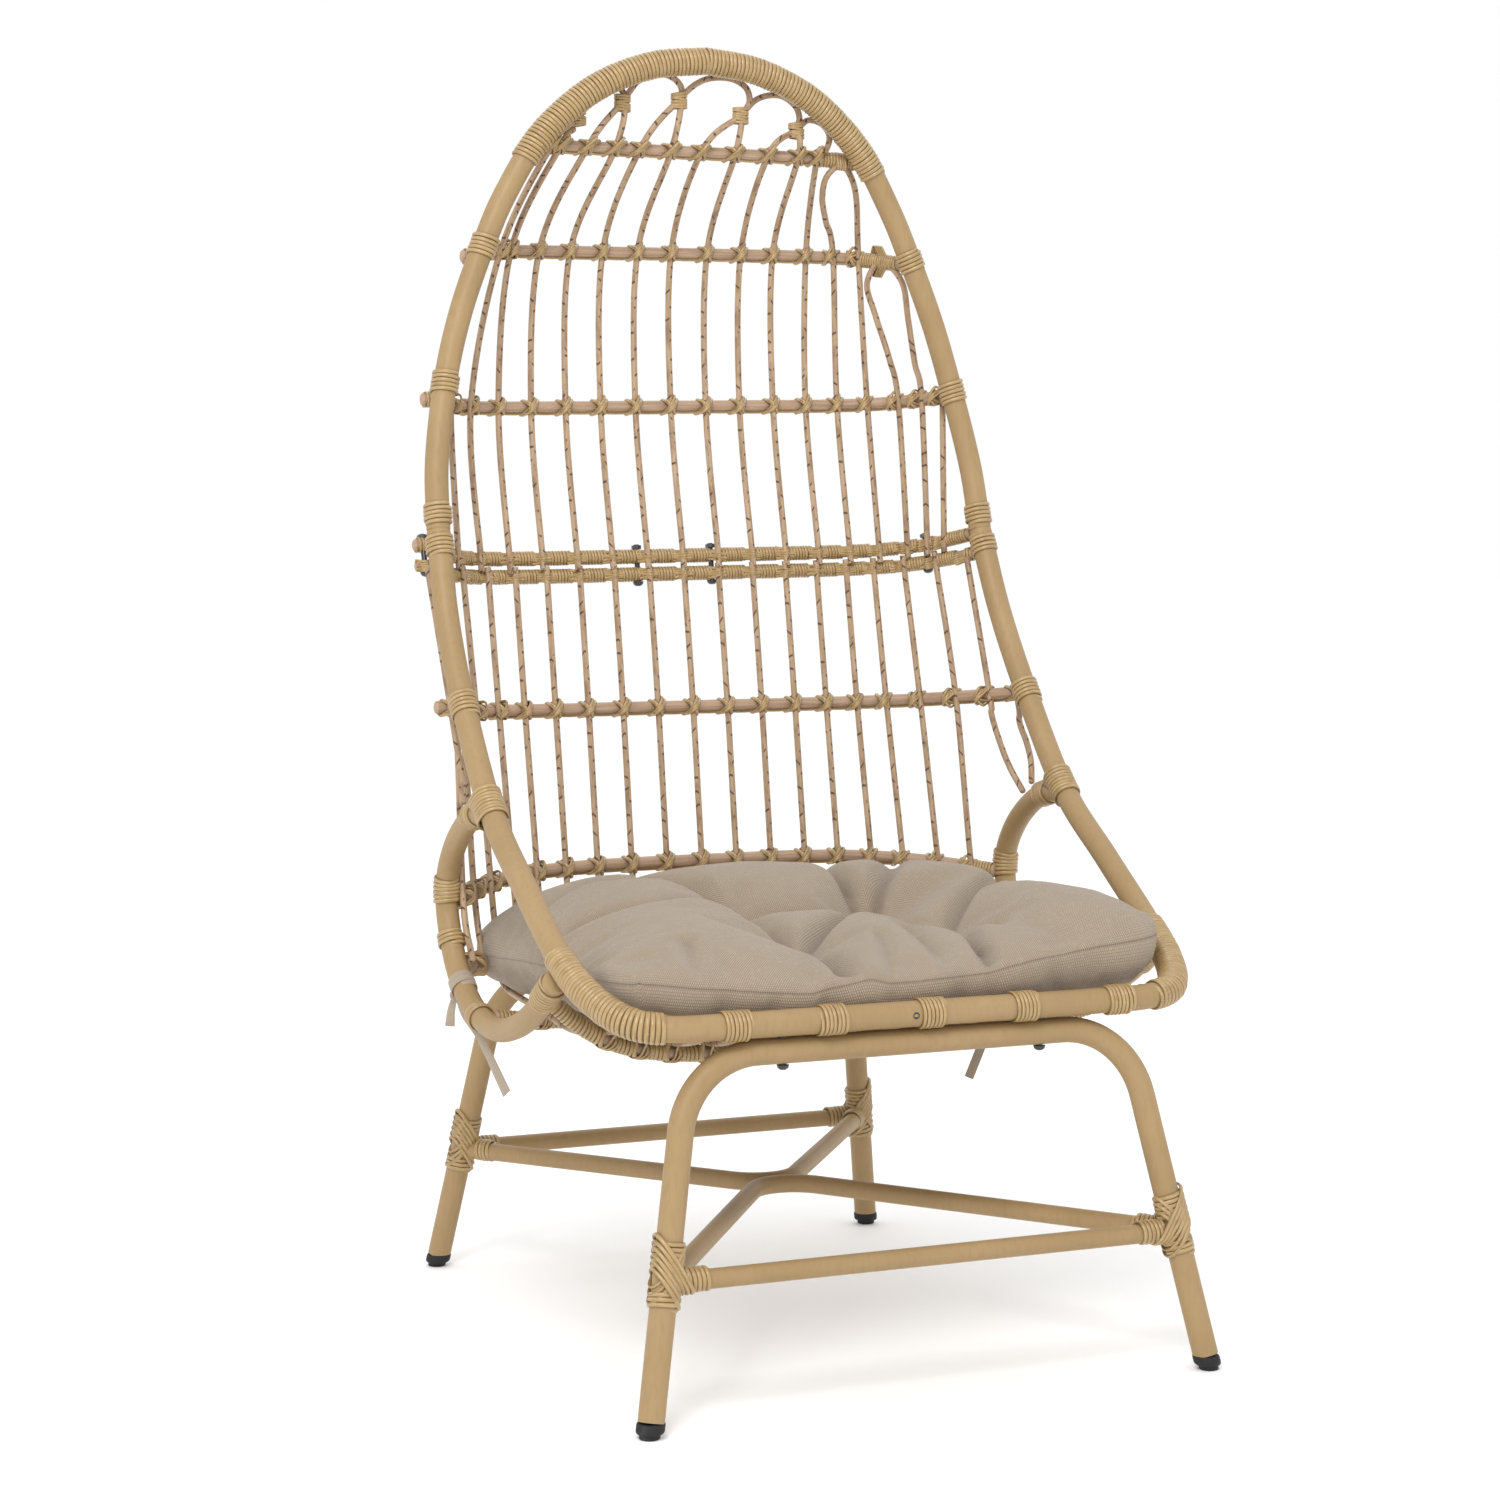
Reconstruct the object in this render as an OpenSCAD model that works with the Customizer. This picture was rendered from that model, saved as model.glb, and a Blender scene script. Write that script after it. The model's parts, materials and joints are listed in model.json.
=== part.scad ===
// High-backed lounge chair: a bent-tube rim carrying bowed cross bars and thin upright rods,
// bound with cane strip, bolted onto a four-legged tube base, with a loose tied-on seat cushion.
// Millimetres. The origin is on the floor, midway between the feet; -Y is the front.

/* [Tubes] */
// Outer diameter of the rim, bracket and leg tubes
tube_d = 25.4; // [25:0.1:26]
// Outer diameter of the stretchers and braces between the legs
brace_d = 19; // [18:0.5:20]
// Diameter of the cross bars of the back and the seat
bar_d = 14; // [13:0.5:14]
// Diameter of the thin upright rods
rod_d = 7; // [6:0.5:7]
// Thickness of the cane strip wound round the tubes
strip_t = 3.4; // [3:0.1:4]

/* [Base] */
// Half the distance between the front feet
front_foot_x = 298; // [290:1:305]
// Half the distance between the rear feet
rear_foot_x = 268; // [260:1:275]
// Distance of the front and rear feet from the middle of the base
foot_y = 362; // [355:1:370]
// Height of the axis of each leg frame's top tube
frame_top_z = 338; // [334:1:340]
// Bend radius of the leg frames' shoulders
shoulder_r = 85; // [70:1:95]
// Height of the stretchers and braces above the floor
stretcher_z = 136; // [120:1:150]

/* [Cushion] */
// Half the width of the seat cushion
cushion_half_w = 296; // [270:1:296]
// Front-to-back length of the seat cushion
cushion_len = 502; // [460:1:502]
// Height of the crown above the seam
cushion_crown = 80; // [60:1:84]

/* [Fasteners] */
// Shank diameter of the bolts
bolt_d = 6; // [5:0.5:6]
// Bolt head diameter
bolt_head_d = 12; // [11:0.5:13]

/* [Hidden] */

gap = 0.3;                       // clearance between touching parts
bore_play = 0.05;                // radial play of a plug or bolt in its bore
tube_sides = 12;
bar_sides = 8;
rod_sides = 6;

tube_r = tube_d / 2;
bar_r = bar_d / 2;
rod_r = rod_d / 2;
rod_off = bar_r + rod_r + gap;   // a rod's axis in front of a bar's axis
bound_d = tube_d + 2 * strip_t;

// Right half of the rim's axis, from the joint up to the crown.
upper_half = [
    [322, 177, 828], [318, 194, 900], [303, 211, 985], [283, 219, 1060], [256, 223, 1132],
    [230, 224, 1190], [190, 221, 1254], [132, 217, 1306], [66, 215, 1335], [0, 214, 1344],
];
// Right half of the rim's axis, from the joint down the arm and round to the front rail.
lower_half = [
    [322, 177, 828], [326, 138, 740], [328, 77, 649], [328, -11, 546], [327, -104, 482],
    [324, -196, 423], [314, -254, 392], [292, -296, 373], [256, -312, 367], [200, -313, 366],
    [100, -313, 366], [0, -313, 366],
];
rail_y = -313;
rail_z = 366;
joint_at = upper_half[0];
joint_dir = [-8, 56, 160];       // the rim's direction where the two halves meet
spigot_len = 64;
spigot_d = 19;

// Side bracket: a C in the plane of the arm, from under the arm back, down and forward again.
bracket_x = 330;
bracket_yz = [
    [-5, 546], [46, 536], [93, 509], [123, 474], [129, 440], [118, 408], [96, 376],
    [62, 350], [18, 334], [-35, 330], [-95, 343], [-148, 366], [-203, 402],
];

// Each cross bar: half width where it turns in, overhang, [y, z] at its ends, [y, z] in the
// middle, squareness of its bow and rise towards the right-hand side.
bars = [
    [196, 4, [242, 1243], [247, 1247], 9, 0],
    [256, 16, [250, 1128], [337, 1142], 9, 0.015],
    [304, 16, [243, 975], [329, 968], 9, 0.02],
    [322, 20, [203, 818], [292, 799], 9, 0.015],
    [322, 20, [195, 796], [289, 779], 9, 0.015],
    [328, 18, [118, 645], [263, 630], 7, 0],
    [317, 0, [127, 444], [238, 459], 4, 0],
    [317, 0, [97, 378], [226, 364.7], 4, 0],
    [317, 0, [18, 334], [18, 325], 6, 0],
    [317, 0, [-164, 374], [-172, 316], 6, 0],
];
rear_bar_d = 19;                 // the bar that carries the rear frame bolts

// Upright rods are numbered from the middle, negative to the left: their distance from the
// middle in the upper and the lower back, and where rods -6 and up cross the two top bars.
rod_x = [0, 43, 85, 127, 168, 207, 242, 272, 290, 303, 316];
low_rod_x = [0, 42, 84, 125, 164, 201, 234, 267, 295, 316, 332];
first_top_rod = -6;
top_rods = [
    [-173, -162, -130, -98, -69, -32, 4, 45, 85, 122, 145],
    [-204, -190, -155, -118, -79, -37, 4, 48, 90, 130, 171, 202, 226],
];

// The tops of the paired rods: [left rod, right rod, [x, z] points of the arch between them].
petals = [
    [-6, -3, [[-142, 1277], [-120, 1306], [-98, 1314], [-87, 1298]]],
    [-4, -1, [[-91, 1296], [-70, 1322], [-44, 1330], [-24, 1322], [-20, 1303]]],
    [-2, 1, [[-24, 1302], [4, 1325], [34, 1330], [56, 1322], [62, 1306], [54, 1289]]],
    [0, 3, [[50, 1289], [72, 1309], [98, 1314], [117, 1304], [123, 1290], [120, 1276]]],
    [2, 4, [[119, 1276], [133, 1288], [150, 1285], [160, 1272], [156, 1256]]],
];
petal_y = 236;                   // the paired rods' tops run close behind the rim
knots = [[-142, 1277], [-90, 1296], [-23, 1302], [51, 1289], [119, 1276]];

// Side loops that hang under a bar: [bar, left rod, right rod, [x, z] over the crown].
loops = [
    [0, 5, 6, [[180, 1182], [167, 1206], [164, 1228], [176, 1240], [192, 1229],
               [208, 1203]]],
    [1, 7, 8, [[257, 1025], [242, 1076], [234, 1112], [243, 1136], [258, 1112],
               [271, 1070], [282, 1020]]],
];

seat_line = [[180, 360], [120, 343], [20, 336], [-80, 329], [-172, 327], [-240, 338], [-280, 353]];

frame_bolt_x = 138;
joint_bolt_x = [-331, -52, 38, 292];
rail_binding_x = [-192, -92, 11, 114, 219];
cap_h = 14;                      // height of a foot cap under the tube
plug_d = 20;
plug_len = 22;
lug_t = 4;

cushion_front = -306;
cushion_seam_z = 410;
cushion_tilt = 3;                // degrees down towards the rear
cushion_drop = 46;               // depth of the belly below the seam
cushion_sag = 36;                // how much deeper the belly hangs towards the front
front_square = 0.36;             // how round the cushion's corners are: 0 is square, 1 is round
rear_square = 0.52;

// ---------- geometry helpers ----------
function unit(v) = v / norm(v);
function flip(p) = [-p.x, p.y, p.z];
function reversed(list) = [for (i = [len(list) - 1 : -1 : 0]) list[i]];
function last(list) = len(list) - 1;

// A smooth curve through a list of points, with n steps between neighbours.
function blend4(a, b, c, d, t) =
    0.5 * (2 * b + (c - a) * t + (2 * a - 5 * b + 4 * c - d) * t * t
           + (3 * b - a - 3 * c + d) * t * t * t);
function smooth(p, n = 4) = concat(
    [for (i = [0 : last(p) - 1]) for (s = [0 : n - 1])
        blend4(i == 0 ? 2 * p[0] - p[1] : p[i - 1], p[i], p[i + 1],
               i == last(p) - 1 ? 2 * p[i + 1] - p[i] : p[i + 2], s / n)],
    [p[last(p)]]);

// Directions along a path and a frame that turns with it as little as it can.
function tangents(p) =
    [for (i = [0 : last(p)]) unit(p[min(i + 1, last(p))] - p[max(i - 1, 0)])];
function across(t) = unit(cross(t, abs(t.x) > 0.8 ? [0, 1, 0] : [1, 0, 0]));
function normals(t) =
    [for (i = 0, u = across(t[0]); i <= last(t);
          i = i + 1, u = i <= last(t) ? unit(u - (u * t[i]) * t[i]) : u) u];

function rings(p, d, sides) =
    let (t = tangents(p), u = normals(t))
    [for (i = [0 : last(p)]) for (j = [0 : sides - 1])
        let (a = 360 * j / sides) p[i] + d / 2 * (cos(a) * u[i] + sin(a) * cross(t[i], u[i]))];

function wall(count, sides, start = 0, out = true) =
    [for (i = [0 : count - 2]) for (j = [0 : sides - 1])
        let (a = start + i * sides + j, b = start + i * sides + (j + 1) % sides)
        each out ? [[a, a + sides, b + sides], [a, b + sides, b]]
                 : [[a, b + sides, a + sides], [a, b, b + sides]]];

// A round bar along a path.
module tube_along(path, d, sides) {
    n = len(path);
    polyhedron(
        points = rings(path, d, sides),
        faces = concat(
            [[for (j = [0 : sides - 1]) j]],
            wall(n, sides),
            [[for (j = [sides - 1 : -1 : 0]) (n - 1) * sides + j]]),
        convexity = 10);
}

// A hollow sleeve along a path.
module sleeve_along(path, outer, inner, sides) {
    n = len(path);
    m = n * sides;
    polyhedron(
        points = concat(rings(path, outer, sides), rings(path, inner, sides)),
        faces = concat(
            wall(n, sides),
            wall(n, sides, m, false),
            [for (j = [0 : sides - 1]) let (k = (j + 1) % sides)
                each [[j, k, m + k], [j, m + k, m + j]]],
            [for (j = [0 : sides - 1]) let (k = (j + 1) % sides, e = (n - 1) * sides)
                each [[e + k, e + j, m + e + j], [e + k, m + e + j, m + e + k]]]),
        convexity = 10);
}

// Put children with their own Z axis along a direction, at a point.
module aim(at, dir) {
    translate(at)
        rotate([0, acos(dir.z / norm(dir)), atan2(dir.y, dir.x)])
            children();
}

module round_bar(a, b, d) {
    aim(a, b - a) cylinder(d = d, h = norm(b - a), $fn = 48);
}

module both_sides() {
    children();
    mirror([1, 0, 0]) children();
}

// ---------- curves shared by several parts ----------
upper_path = concat(smooth(upper_half, 3), [for (p = reversed(smooth(upper_half, 3))) if (p.x > 0) flip(p)]);
lower_path = concat(smooth(lower_half, 3), [for (p = reversed(smooth(lower_half, 3))) if (p.x > 0) flip(p)]);
bracket_path = smooth([for (q = bracket_yz) [bracket_x, q.x, q.y]], 2);

function bar_fill(i, x) = 1 - pow(min(abs(x) / bars[i][0], 1), bars[i][4]);
function bar_at(i, x) =
    let (q = bars[i][2] + (bars[i][3] - bars[i][2]) * bar_fill(i, x))
    [x, q.x, q.y + bars[i][5] * x];
function bar_path(i) =
    let (a = bars[i][0] + bars[i][1]) [for (t = [-90 : 7.5 : 90]) bar_at(i, a * sin(t))];

function low_x(k) = sign(k) * low_rod_x[abs(k)];
function rod_at(i, k) =
    bar_at(i, i < 2 ? top_rods[i][k - first_top_rod]
              : i < 4 ? sign(k) * rod_x[abs(k)] : low_x(k)) - [0, rod_off, 0];
// The back's surface, in front of the bars, at a width and height.
function on_back(p) =
    [p.x, lookup(p.y, [for (i = [6 : -1 : 0]) [bars[i][3].y, bar_at(i, p.x).y]]) - rod_off, p.y];

// Points of an upper rod from the joint bar up to the given bar.
function upper_rod(k, top) = concat(
    [rod_at(3, k) - [0, 1, 5]], [for (i = [3 : -1 : top]) rod_at(i, k)]);
function lifted(p) = [p.x, petal_y, p.y];

// ---------- rim and brackets ----------
module rim_bores() {
    both_sides() aim(joint_at - unit(joint_dir) * spigot_len / 2, joint_dir)
        cylinder(d = spigot_d, h = spigot_len, $fn = 48);
}

module joint_face(up) {
    both_sides() aim(joint_at, joint_dir * (up ? -1 : 1)) translate([0, 0, -gap / 2])
        cylinder(d = 40, h = 12, $fn = 32);
}

module upper_rim() {
    color("tan") difference() {
        tube_along(upper_path, tube_d, tube_sides);
        joint_face(true);
        rim_bores();
    }
}

module lower_rim() {
    color("tan") difference() {
        tube_along(lower_path, tube_d, tube_sides);
        joint_face(false);
        rim_bores();
    }
}

module rim_spigot() {
    color("gray") aim(joint_at - unit(joint_dir) * (spigot_len / 2 - 1), joint_dir)
        cylinder(d = spigot_d - 2 * bore_play, h = spigot_len - 2, $fn = 48);
}

module side_bracket() {
    color("tan") tube_along(bracket_path, tube_d - 1.4, tube_sides);
}

// ---------- cross bars ----------
module bar(i) {
    color("burlywood") difference() {
        tube_along(bar_path(i), bar_d, bar_sides);
        if (i == 3 || i == 4) for (x = joint_bolt_x) bolt_hole(x);
    }
}

module rear_seat_bar() {
    color("burlywood") difference() {
        tube_along(bar_path(7), rear_bar_d, tube_sides);
        for (s = [-1, 1]) translate([s * frame_bolt_x, bar_at(7, frame_bolt_x).y, 330])
            cylinder(d = bolt_d + 2 * bore_play, h = 60, $fn = 32);
    }
}

// ---------- upright rods ----------
module upper_rods() {
    color("peru") {
        for (p = petals)
            tube_along(smooth(concat(upper_rod(p[0], 0), [for (q = p[2]) lifted(q)],
                                     reversed(upper_rod(p[1], 0))), 2), rod_d, rod_sides);
        tube_along(smooth(concat(upper_rod(-5, 0), [lifted([-146, 1266])]), 2), rod_d, rod_sides);
        for (s = loops)
            tube_along(smooth(concat(upper_rod(s[1], s[0] + 1), [for (q = s[3]) on_back(q)],
                                     reversed(upper_rod(s[2], s[0] + 1))), 2), rod_d, rod_sides);
        tube_along(smooth(concat(upper_rod(-7, 2), [[-262, 286, 1060], [-250, 240, 1118]]), 2),
                   rod_d, rod_sides);
        for (k = [-9, -8, 9]) tube_along(smooth(upper_rod(k, 2), 2), rod_d, rod_sides);
    }
}

// A rod of the lower back, from the joint bar down over the seat-back bar to the rear seat bar.
function lower_rod(k) = concat(
    [rod_at(4, k) + [0, 0.5, 5]],
    [for (i = [4, 5, 6]) rod_at(i, k)],
    [bar_at(7, low_x(k)) + [0, -rear_bar_d / 2 - rod_r - gap, 4]]);

// The outermost rods come down behind the rim and end on top of the side brackets.
bracket_rods = [
    [-10, [[-324, 98, 575], [-329, 78, 547]]],
    [9, [[315, 135, 622], [319, 125, 594], [323, 107, 564], [328, 82, 536]]],
    [10, [[331, 98, 614], [336, 91, 592], [338, 84, 571], [331, 69, 547]]],
];

module lower_rods() {
    color("peru") {
        for (k = [-9 : 8]) tube_along(smooth(lower_rod(k), 4), rod_d, rod_sides);
        for (b = bracket_rods)
            tube_along(smooth(concat([rod_at(4, b[0]), rod_at(5, b[0])], b[1]), 4),
                       rod_d, rod_sides);
    }
}

// A rod of the seat, from the rear seat bar over the seat bars to the front rail.
function seat_rod(k) =
    let (x = low_x(k), rise = pow(abs(x) / bars[9][0], 6), back = bar_at(7, x))
    concat([back + [0, -rear_bar_d / 2 - rod_r - gap, -6]],
           [for (q = seat_line) if (q.x < back.y - 40)
               [x, q.x, q.y + rise * (q.x < -80 ? 50 : 10)]],
           [[x * 0.97, rail_y + tube_r + rod_r + gap, rail_z - 4]]);

module seat_rods() {
    color("peru") for (k = [-7 : 7]) tube_along(smooth(seat_rod(k), 2), rod_d, rod_sides);
}

// ---------- cane bindings ----------
module top_rim_binding() {
    reach = 210;                 // the crown is bound between these half widths
    color("goldenrod")
        sleeve_along([for (p = upper_path) if (abs(p.x) < reach && p.z > 1200) p],
                     bound_d, tube_d + 1.4, tube_sides);
}

module corner_binding() {
    color("goldenrod")
        sleeve_along([for (p = smooth(lower_half, 3)) if (p.y < -196 && p.x > 262) p],
                     bound_d, tube_d + 1.4, tube_sides);
}

module ring(at, dir, len, hole = tube_d + 1, outer = bound_d) {
    aim(at, dir) translate([0, 0, -len / 2]) difference() {
        cylinder(d = outer, h = len, $fn = 32);
        translate([0, 0, -1]) cylinder(d = hole, h = len + 2, $fn = 32);
    }
}

// Where the rim is bound: [point on the axis, direction, length of the binding].
rim_binding_at = [
    [[255, 223, 1134], [-27, 3, 74], 24], [[303, 211, 985], [-18, 12, 84], 24],
    [[321, 181, 846], [-8, 38, 160], 22], [[323, 171, 810], [-8, 62, 160], 22],
    [[328, 77, 649], [0, 149, 194], 26], [[328, -6, 551], [0, 96, 120], 34],
];

module rim_bindings() {
    color("goldenrod") both_sides() {
        for (b = rim_binding_at) ring(b[0], b[1], b[2]);
        ring([bracket_x, 127.5, 452], [0, 1, -9], 26, tube_d, bound_d - 1.4);
    }
}

module rail_bindings() {
    color("goldenrod") for (x = rail_binding_x) ring([x, rail_y, rail_z], [1, 0, 0], 24);
}

module petal_knots() {
    color("goldenrod") for (k = knots) aim(lifted(k), [0.25, 0, 1]) translate([0, 0, -9])
        scale([1, 0.8, 1]) cylinder(d = 19, h = 18, $fn = 24);
}

// ---------- the bolted joint of the back ----------
function bolt_mid(x) = (bar_at(3, x) + bar_at(4, x)) / 2;
function bolt_dir(x) = bar_at(3, x) - bar_at(4, x);

module bolt_hole(x) {
    aim(bolt_mid(x) - 40 * unit(bolt_dir(x)), bolt_dir(x))
        cylinder(d = bolt_d + 2 * bore_play, h = 80, $fn = 32);
}

module bolt(len) {
    cylinder(d = bolt_d, h = len, $fn = 32);
    rotate_extrude($fn = 32) polygon([[0, -5], [bolt_head_d / 4, -4.6], [bolt_head_d / 2.3, -3],
                                      [bolt_head_d / 2, -0.5], [bolt_head_d / 2, 0], [0, 0]]);
}

joint_grip = 20 + bar_d + 3;     // head to nut across both bars

module joint_bolts() {
    color("dimgray") for (x = joint_bolt_x)
        aim(bolt_mid(x) - unit(bolt_dir(x)) * joint_grip / 2, bolt_dir(x)) bolt(joint_grip + 5);
}

module nut() {
    difference() {
        cylinder(d = 11, h = 4, $fn = 6);
        translate([0, 0, -1]) cylinder(d = bolt_d + 2 * bore_play, h = 6, $fn = 32);
    }
}

module joint_nuts() {
    color("dimgray") for (x = joint_bolt_x)
        aim(bolt_mid(x) + unit(bolt_dir(x)) * joint_grip / 2, bolt_dir(x)) nut();
}

// ---------- leg frames ----------
// A leg frame is drawn flat, feet at the bottom, and stood up leaning towards the middle.
front_top = [235, -303];         // half width and y of the corner above the front legs
rear_top = [214, 295];

function leg_foot(front) = [front ? front_foot_x : rear_foot_x, front ? -foot_y : foot_y];
function leg_top(front) = front ? front_top : rear_top;
// A point on the right leg's axis at a height.
function leg_at(front, z) =
    let (q = leg_foot(front) + (leg_top(front) - leg_foot(front)) * z / frame_top_z) [q.x, q.y, z];

module leg_frame(front) {
    foot = leg_foot(front);
    top = leg_top(front);
    slope = norm([top.y - foot.y, frame_top_z]);
    tilt = atan2(frame_top_z, top.y - foot.y);
    splay = atan2(foot.x - top.x, slope);
    turn = 90 - splay;
    cut = shoulder_r * tan(turn / 2);
    leg_dir = unit([top.x - foot.x, slope]);
    bend_at = [top.x, slope] - leg_dir * cut;
    difference() {
        translate([0, foot.y, 0]) rotate([tilt, 0, 0]) union() {
            both_sides() {
                round_bar([foot.x, 0, 0], concat(bend_at + 3 * leg_dir, 0), tube_d);
                translate([top.x - cut, slope - shoulder_r, 0]) rotate([0, 0, splay])
                    rotate_extrude(angle = turn, $fn = 96) translate([shoulder_r, 0])
                        circle(d = tube_d + 0.2, $fn = 48);
            }
            round_bar([-top.x + cut - 3, slope, 0], [top.x - cut + 3, slope, 0], tube_d);
        }
        translate([-500, foot.y - 100, -100 + cap_h]) cube([1000, 200, 100]);
        both_sides() plug(front, plug_d + 2 * bore_play, plug_len + 1);
        if (front) for (s = [-1, 1]) translate([s * frame_bolt_x, front_top.y, 300])
            cylinder(d = bolt_d + 2 * bore_play, h = 60, $fn = 32);
    }
}

module plug(front, d, len) {
    a = leg_at(front, cap_h - 6);
    b = leg_at(front, cap_h + len);
    aim(a, b - a) rotate([0, 0, 30]) cylinder(d = d, h = norm(b - a), $fn = 48);
}

module front_leg_frame() { color("tan") leg_frame(true); }
module rear_leg_frame() { color("tan") leg_frame(false); }

module foot(front) {
    bottom = leg_at(front, 0);
    seat = leg_at(front, cap_h);
    color("black") union() {
        translate([bottom.x, bottom.y, 0]) cylinder(d = 19, h = 6, $fn = 48);
        translate([seat.x, seat.y, 5]) cylinder(d = 26, h = cap_h - 5, $fn = 48);
        intersection() {
            plug(front, plug_d, plug_len);
            translate([seat.x - 40, seat.y - 40, cap_h - 1]) cube([80, 80, 2 * plug_len]);
        }
    }
}

module stretcher(front) {
    end = leg_at(front, stretcher_z);
    color("tan") difference() {
        round_bar(flip(end), end, brace_d);
        both_sides() round_bar(leg_at(front, 90), leg_at(front, 190), tube_d + gap);
    }
}

// A V brace: from each leg of one frame to the middle, where it meets the other frame's V.
brace_mid_y = 29;
brace_touch = brace_d / 2 + gap / 2;
brace_bend_r = 45;

module brace(front) {
    end = leg_at(front, stretcher_z);
    reach = abs(brace_mid_y + (front ? -brace_touch : brace_touch) - end.y);
    // The straights would meet beyond the bend, by an amount that depends on their angle.
    first = atan2(end.x, reach + brace_overrun(atan2(end.x, reach)));
    half = atan2(end.x, reach + brace_overrun(first));
    turn = 90 - half;
    cut = brace_bend_r * tan(turn);
    tip = reach + brace_overrun(half);
    along = unit([end.x, -tip]);
    color("tan") translate([0, end.y, stretcher_z]) mirror([0, front ? 0 : 1, 0]) difference() {
        union() {
            both_sides()
                round_bar([end.x, 0, 0], concat([0, tip] + along * (cut - 2), 0), brace_d);
            translate([0, tip - brace_bend_r / cos(turn), 0]) rotate([0, 0, 90 - turn])
                rotate_extrude(angle = 2 * turn, $fn = 96) translate([brace_bend_r, 0])
                    circle(d = brace_d + 0.2, $fn = 48);
        }
        both_sides() translate([0, -end.y * (front ? 1 : -1), -stretcher_z])
            round_bar(brace_leg(front, 90), brace_leg(front, 190), tube_d + gap);
        rotate([0, 90, 0]) cylinder(d = brace_d + gap, h = 2 * end.x + 40, center = true, $fn = 48);
    }
}

function brace_overrun(half) = brace_bend_r * (1 / sin(half) - 1);

// A point of the leg as a brace sees it: both braces are drawn as the front one.
function brace_leg(front, z) = let (q = leg_at(front, z)) front ? q : [q.x, -q.y, z];

module front_stretcher() { stretcher(true); }
module rear_stretcher() { stretcher(false); }
module front_brace() { brace(true); }
module rear_brace() { brace(false); }

// Cane round a leg above and below its junction, and round the ends of the two bars there.
module leg_binding(front) {
    dir = leg_at(front, 200) - leg_at(front, 100);
    end = leg_at(front, stretcher_z);
    color("goldenrod") {
        ring(leg_at(front, stretcher_z + 23), dir, 24, tube_d + gap, bound_d);
        ring(leg_at(front, stretcher_z - 16), dir, 10, tube_d + gap, bound_d);
        ring(end - [34, 0, 0], [1, 0, 0], 22, brace_d + gap, brace_d + 2 * strip_t);
    }
}

// ---------- fastening of the base ----------
module rear_lugs() {
    y0 = bar_at(7, frame_bolt_x).y;
    top = bars[7][3].y - rear_bar_d / 2 - gap;
    color("tan") for (s = [-1, 1]) translate([s * frame_bolt_x, 0, 0]) difference() {
        translate([-14, y0 - 14, top - lug_t]) cube([28, rear_top.y - y0 + 14, lug_t]);
        translate([0, y0, top - 10]) cylinder(d = bolt_d + 2 * bore_play, h = 20, $fn = 32);
        round_bar([-40, rear_top.y, frame_top_z], [40, rear_top.y, frame_top_z], tube_d + 0.1);
    }
}

front_bolt_z = frame_top_z - tube_r - 1;
rear_bolt_z = bars[7][3].y - rear_bar_d / 2 - gap - lug_t;
rear_bolt_y = bar_at(7, frame_bolt_x).y;

module front_frame_bolts() {
    color("dimgray") for (s = [-1, 1]) translate([s * frame_bolt_x, front_top.y, front_bolt_z])
        bolt(rail_z - front_bolt_z - tube_r - 0.5);
}

module rear_frame_bolts() {
    color("dimgray") for (s = [-1, 1]) translate([s * frame_bolt_x, rear_bolt_y, rear_bolt_z])
        bolt(lug_t + rear_bar_d + 8);
}

// Thin washers between the front frame and the rail above it.
module frame_spacers() {
    z = frame_top_z + tube_r;
    color("dimgray") for (s = [-1, 1]) translate([s * frame_bolt_x, front_top.y, z])
        difference() {
            cylinder(d = 11, h = rail_z - tube_r - z - gap, $fn = 32);
            translate([0, 0, -1]) cylinder(d = bolt_d + 2 * bore_play, h = 8, $fn = 32);
        }
}

module frame_nuts() {
    color("dimgray") for (s = [-1, 1])
        translate([s * frame_bolt_x, rear_bolt_y, bars[7][3].y + rear_bar_d / 2 + gap]) nut();
}

// ---------- cushion ----------
cushion_steps = 36;
cushion_layers = [-90, -70, -48, -24, 0, 24, 48, 70, 90];

// A point of the cushion: a rounded square in plan, swelling to its crown and belly.
function cushion_point(turn, up) =
    let (c = cos(turn), s = sin(turn), n = s > 0 ? rear_square : front_square,
         r = pow(cos(up), 0.7), back = r * sign(s) * pow(abs(s), n),
         depth = up > 0 ? cushion_crown : cushion_drop - cushion_sag * min(back, 0))
    [cushion_half_w * r * sign(c) * pow(abs(c), n), cushion_len / 2 * (1 + back),
     depth * sin(up)];

module seat_cushion() {
    n = cushion_steps;
    m = len(cushion_layers) - 2;
    color("rosybrown") translate([0, cushion_front, cushion_seam_z])
    rotate([-cushion_tilt, 0, 0]) polyhedron(
        points = concat(
            [for (i = [1 : m]) for (j = [0 : n - 1])
                cushion_point(360 * (j + 0.5) / n, cushion_layers[i])],
            [cushion_point(0, -90), cushion_point(0, 90)]),
        faces = concat(
            wall(m, n),
            [for (j = [0 : n - 1]) [m * n, j, (j + 1) % n]],
            [for (j = [0 : n - 1]) [m * n + 1, (m - 1) * n + (j + 1) % n, (m - 1) * n + j]]),
        convexity = 4);
}

// A tie: a tape from the cushion's rear corner, knotted round the bracket, with a hanging tail.
tie_w = 12;
tie_t = 2;
tie_knot = [bracket_x, 78, 361];
tie_dir = [0, 46, 36];           // the bracket's direction at the knot
left_tail = [[-330, 86, 349], [-330, 60, 331], [-331, 10, 315], [-332, -66, 271]];
right_tail = [[318, 83, 352], [285, 66, 290], [252, 66, 224]];

module tape(points) {
    for (i = [1 : last(points)]) aim(points[i - 1], points[i] - points[i - 1])
        translate([-tie_t / 2, -tie_w / 2, 0])
            cube([tie_t, tie_w, norm(points[i] - points[i - 1])]);
}

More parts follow.
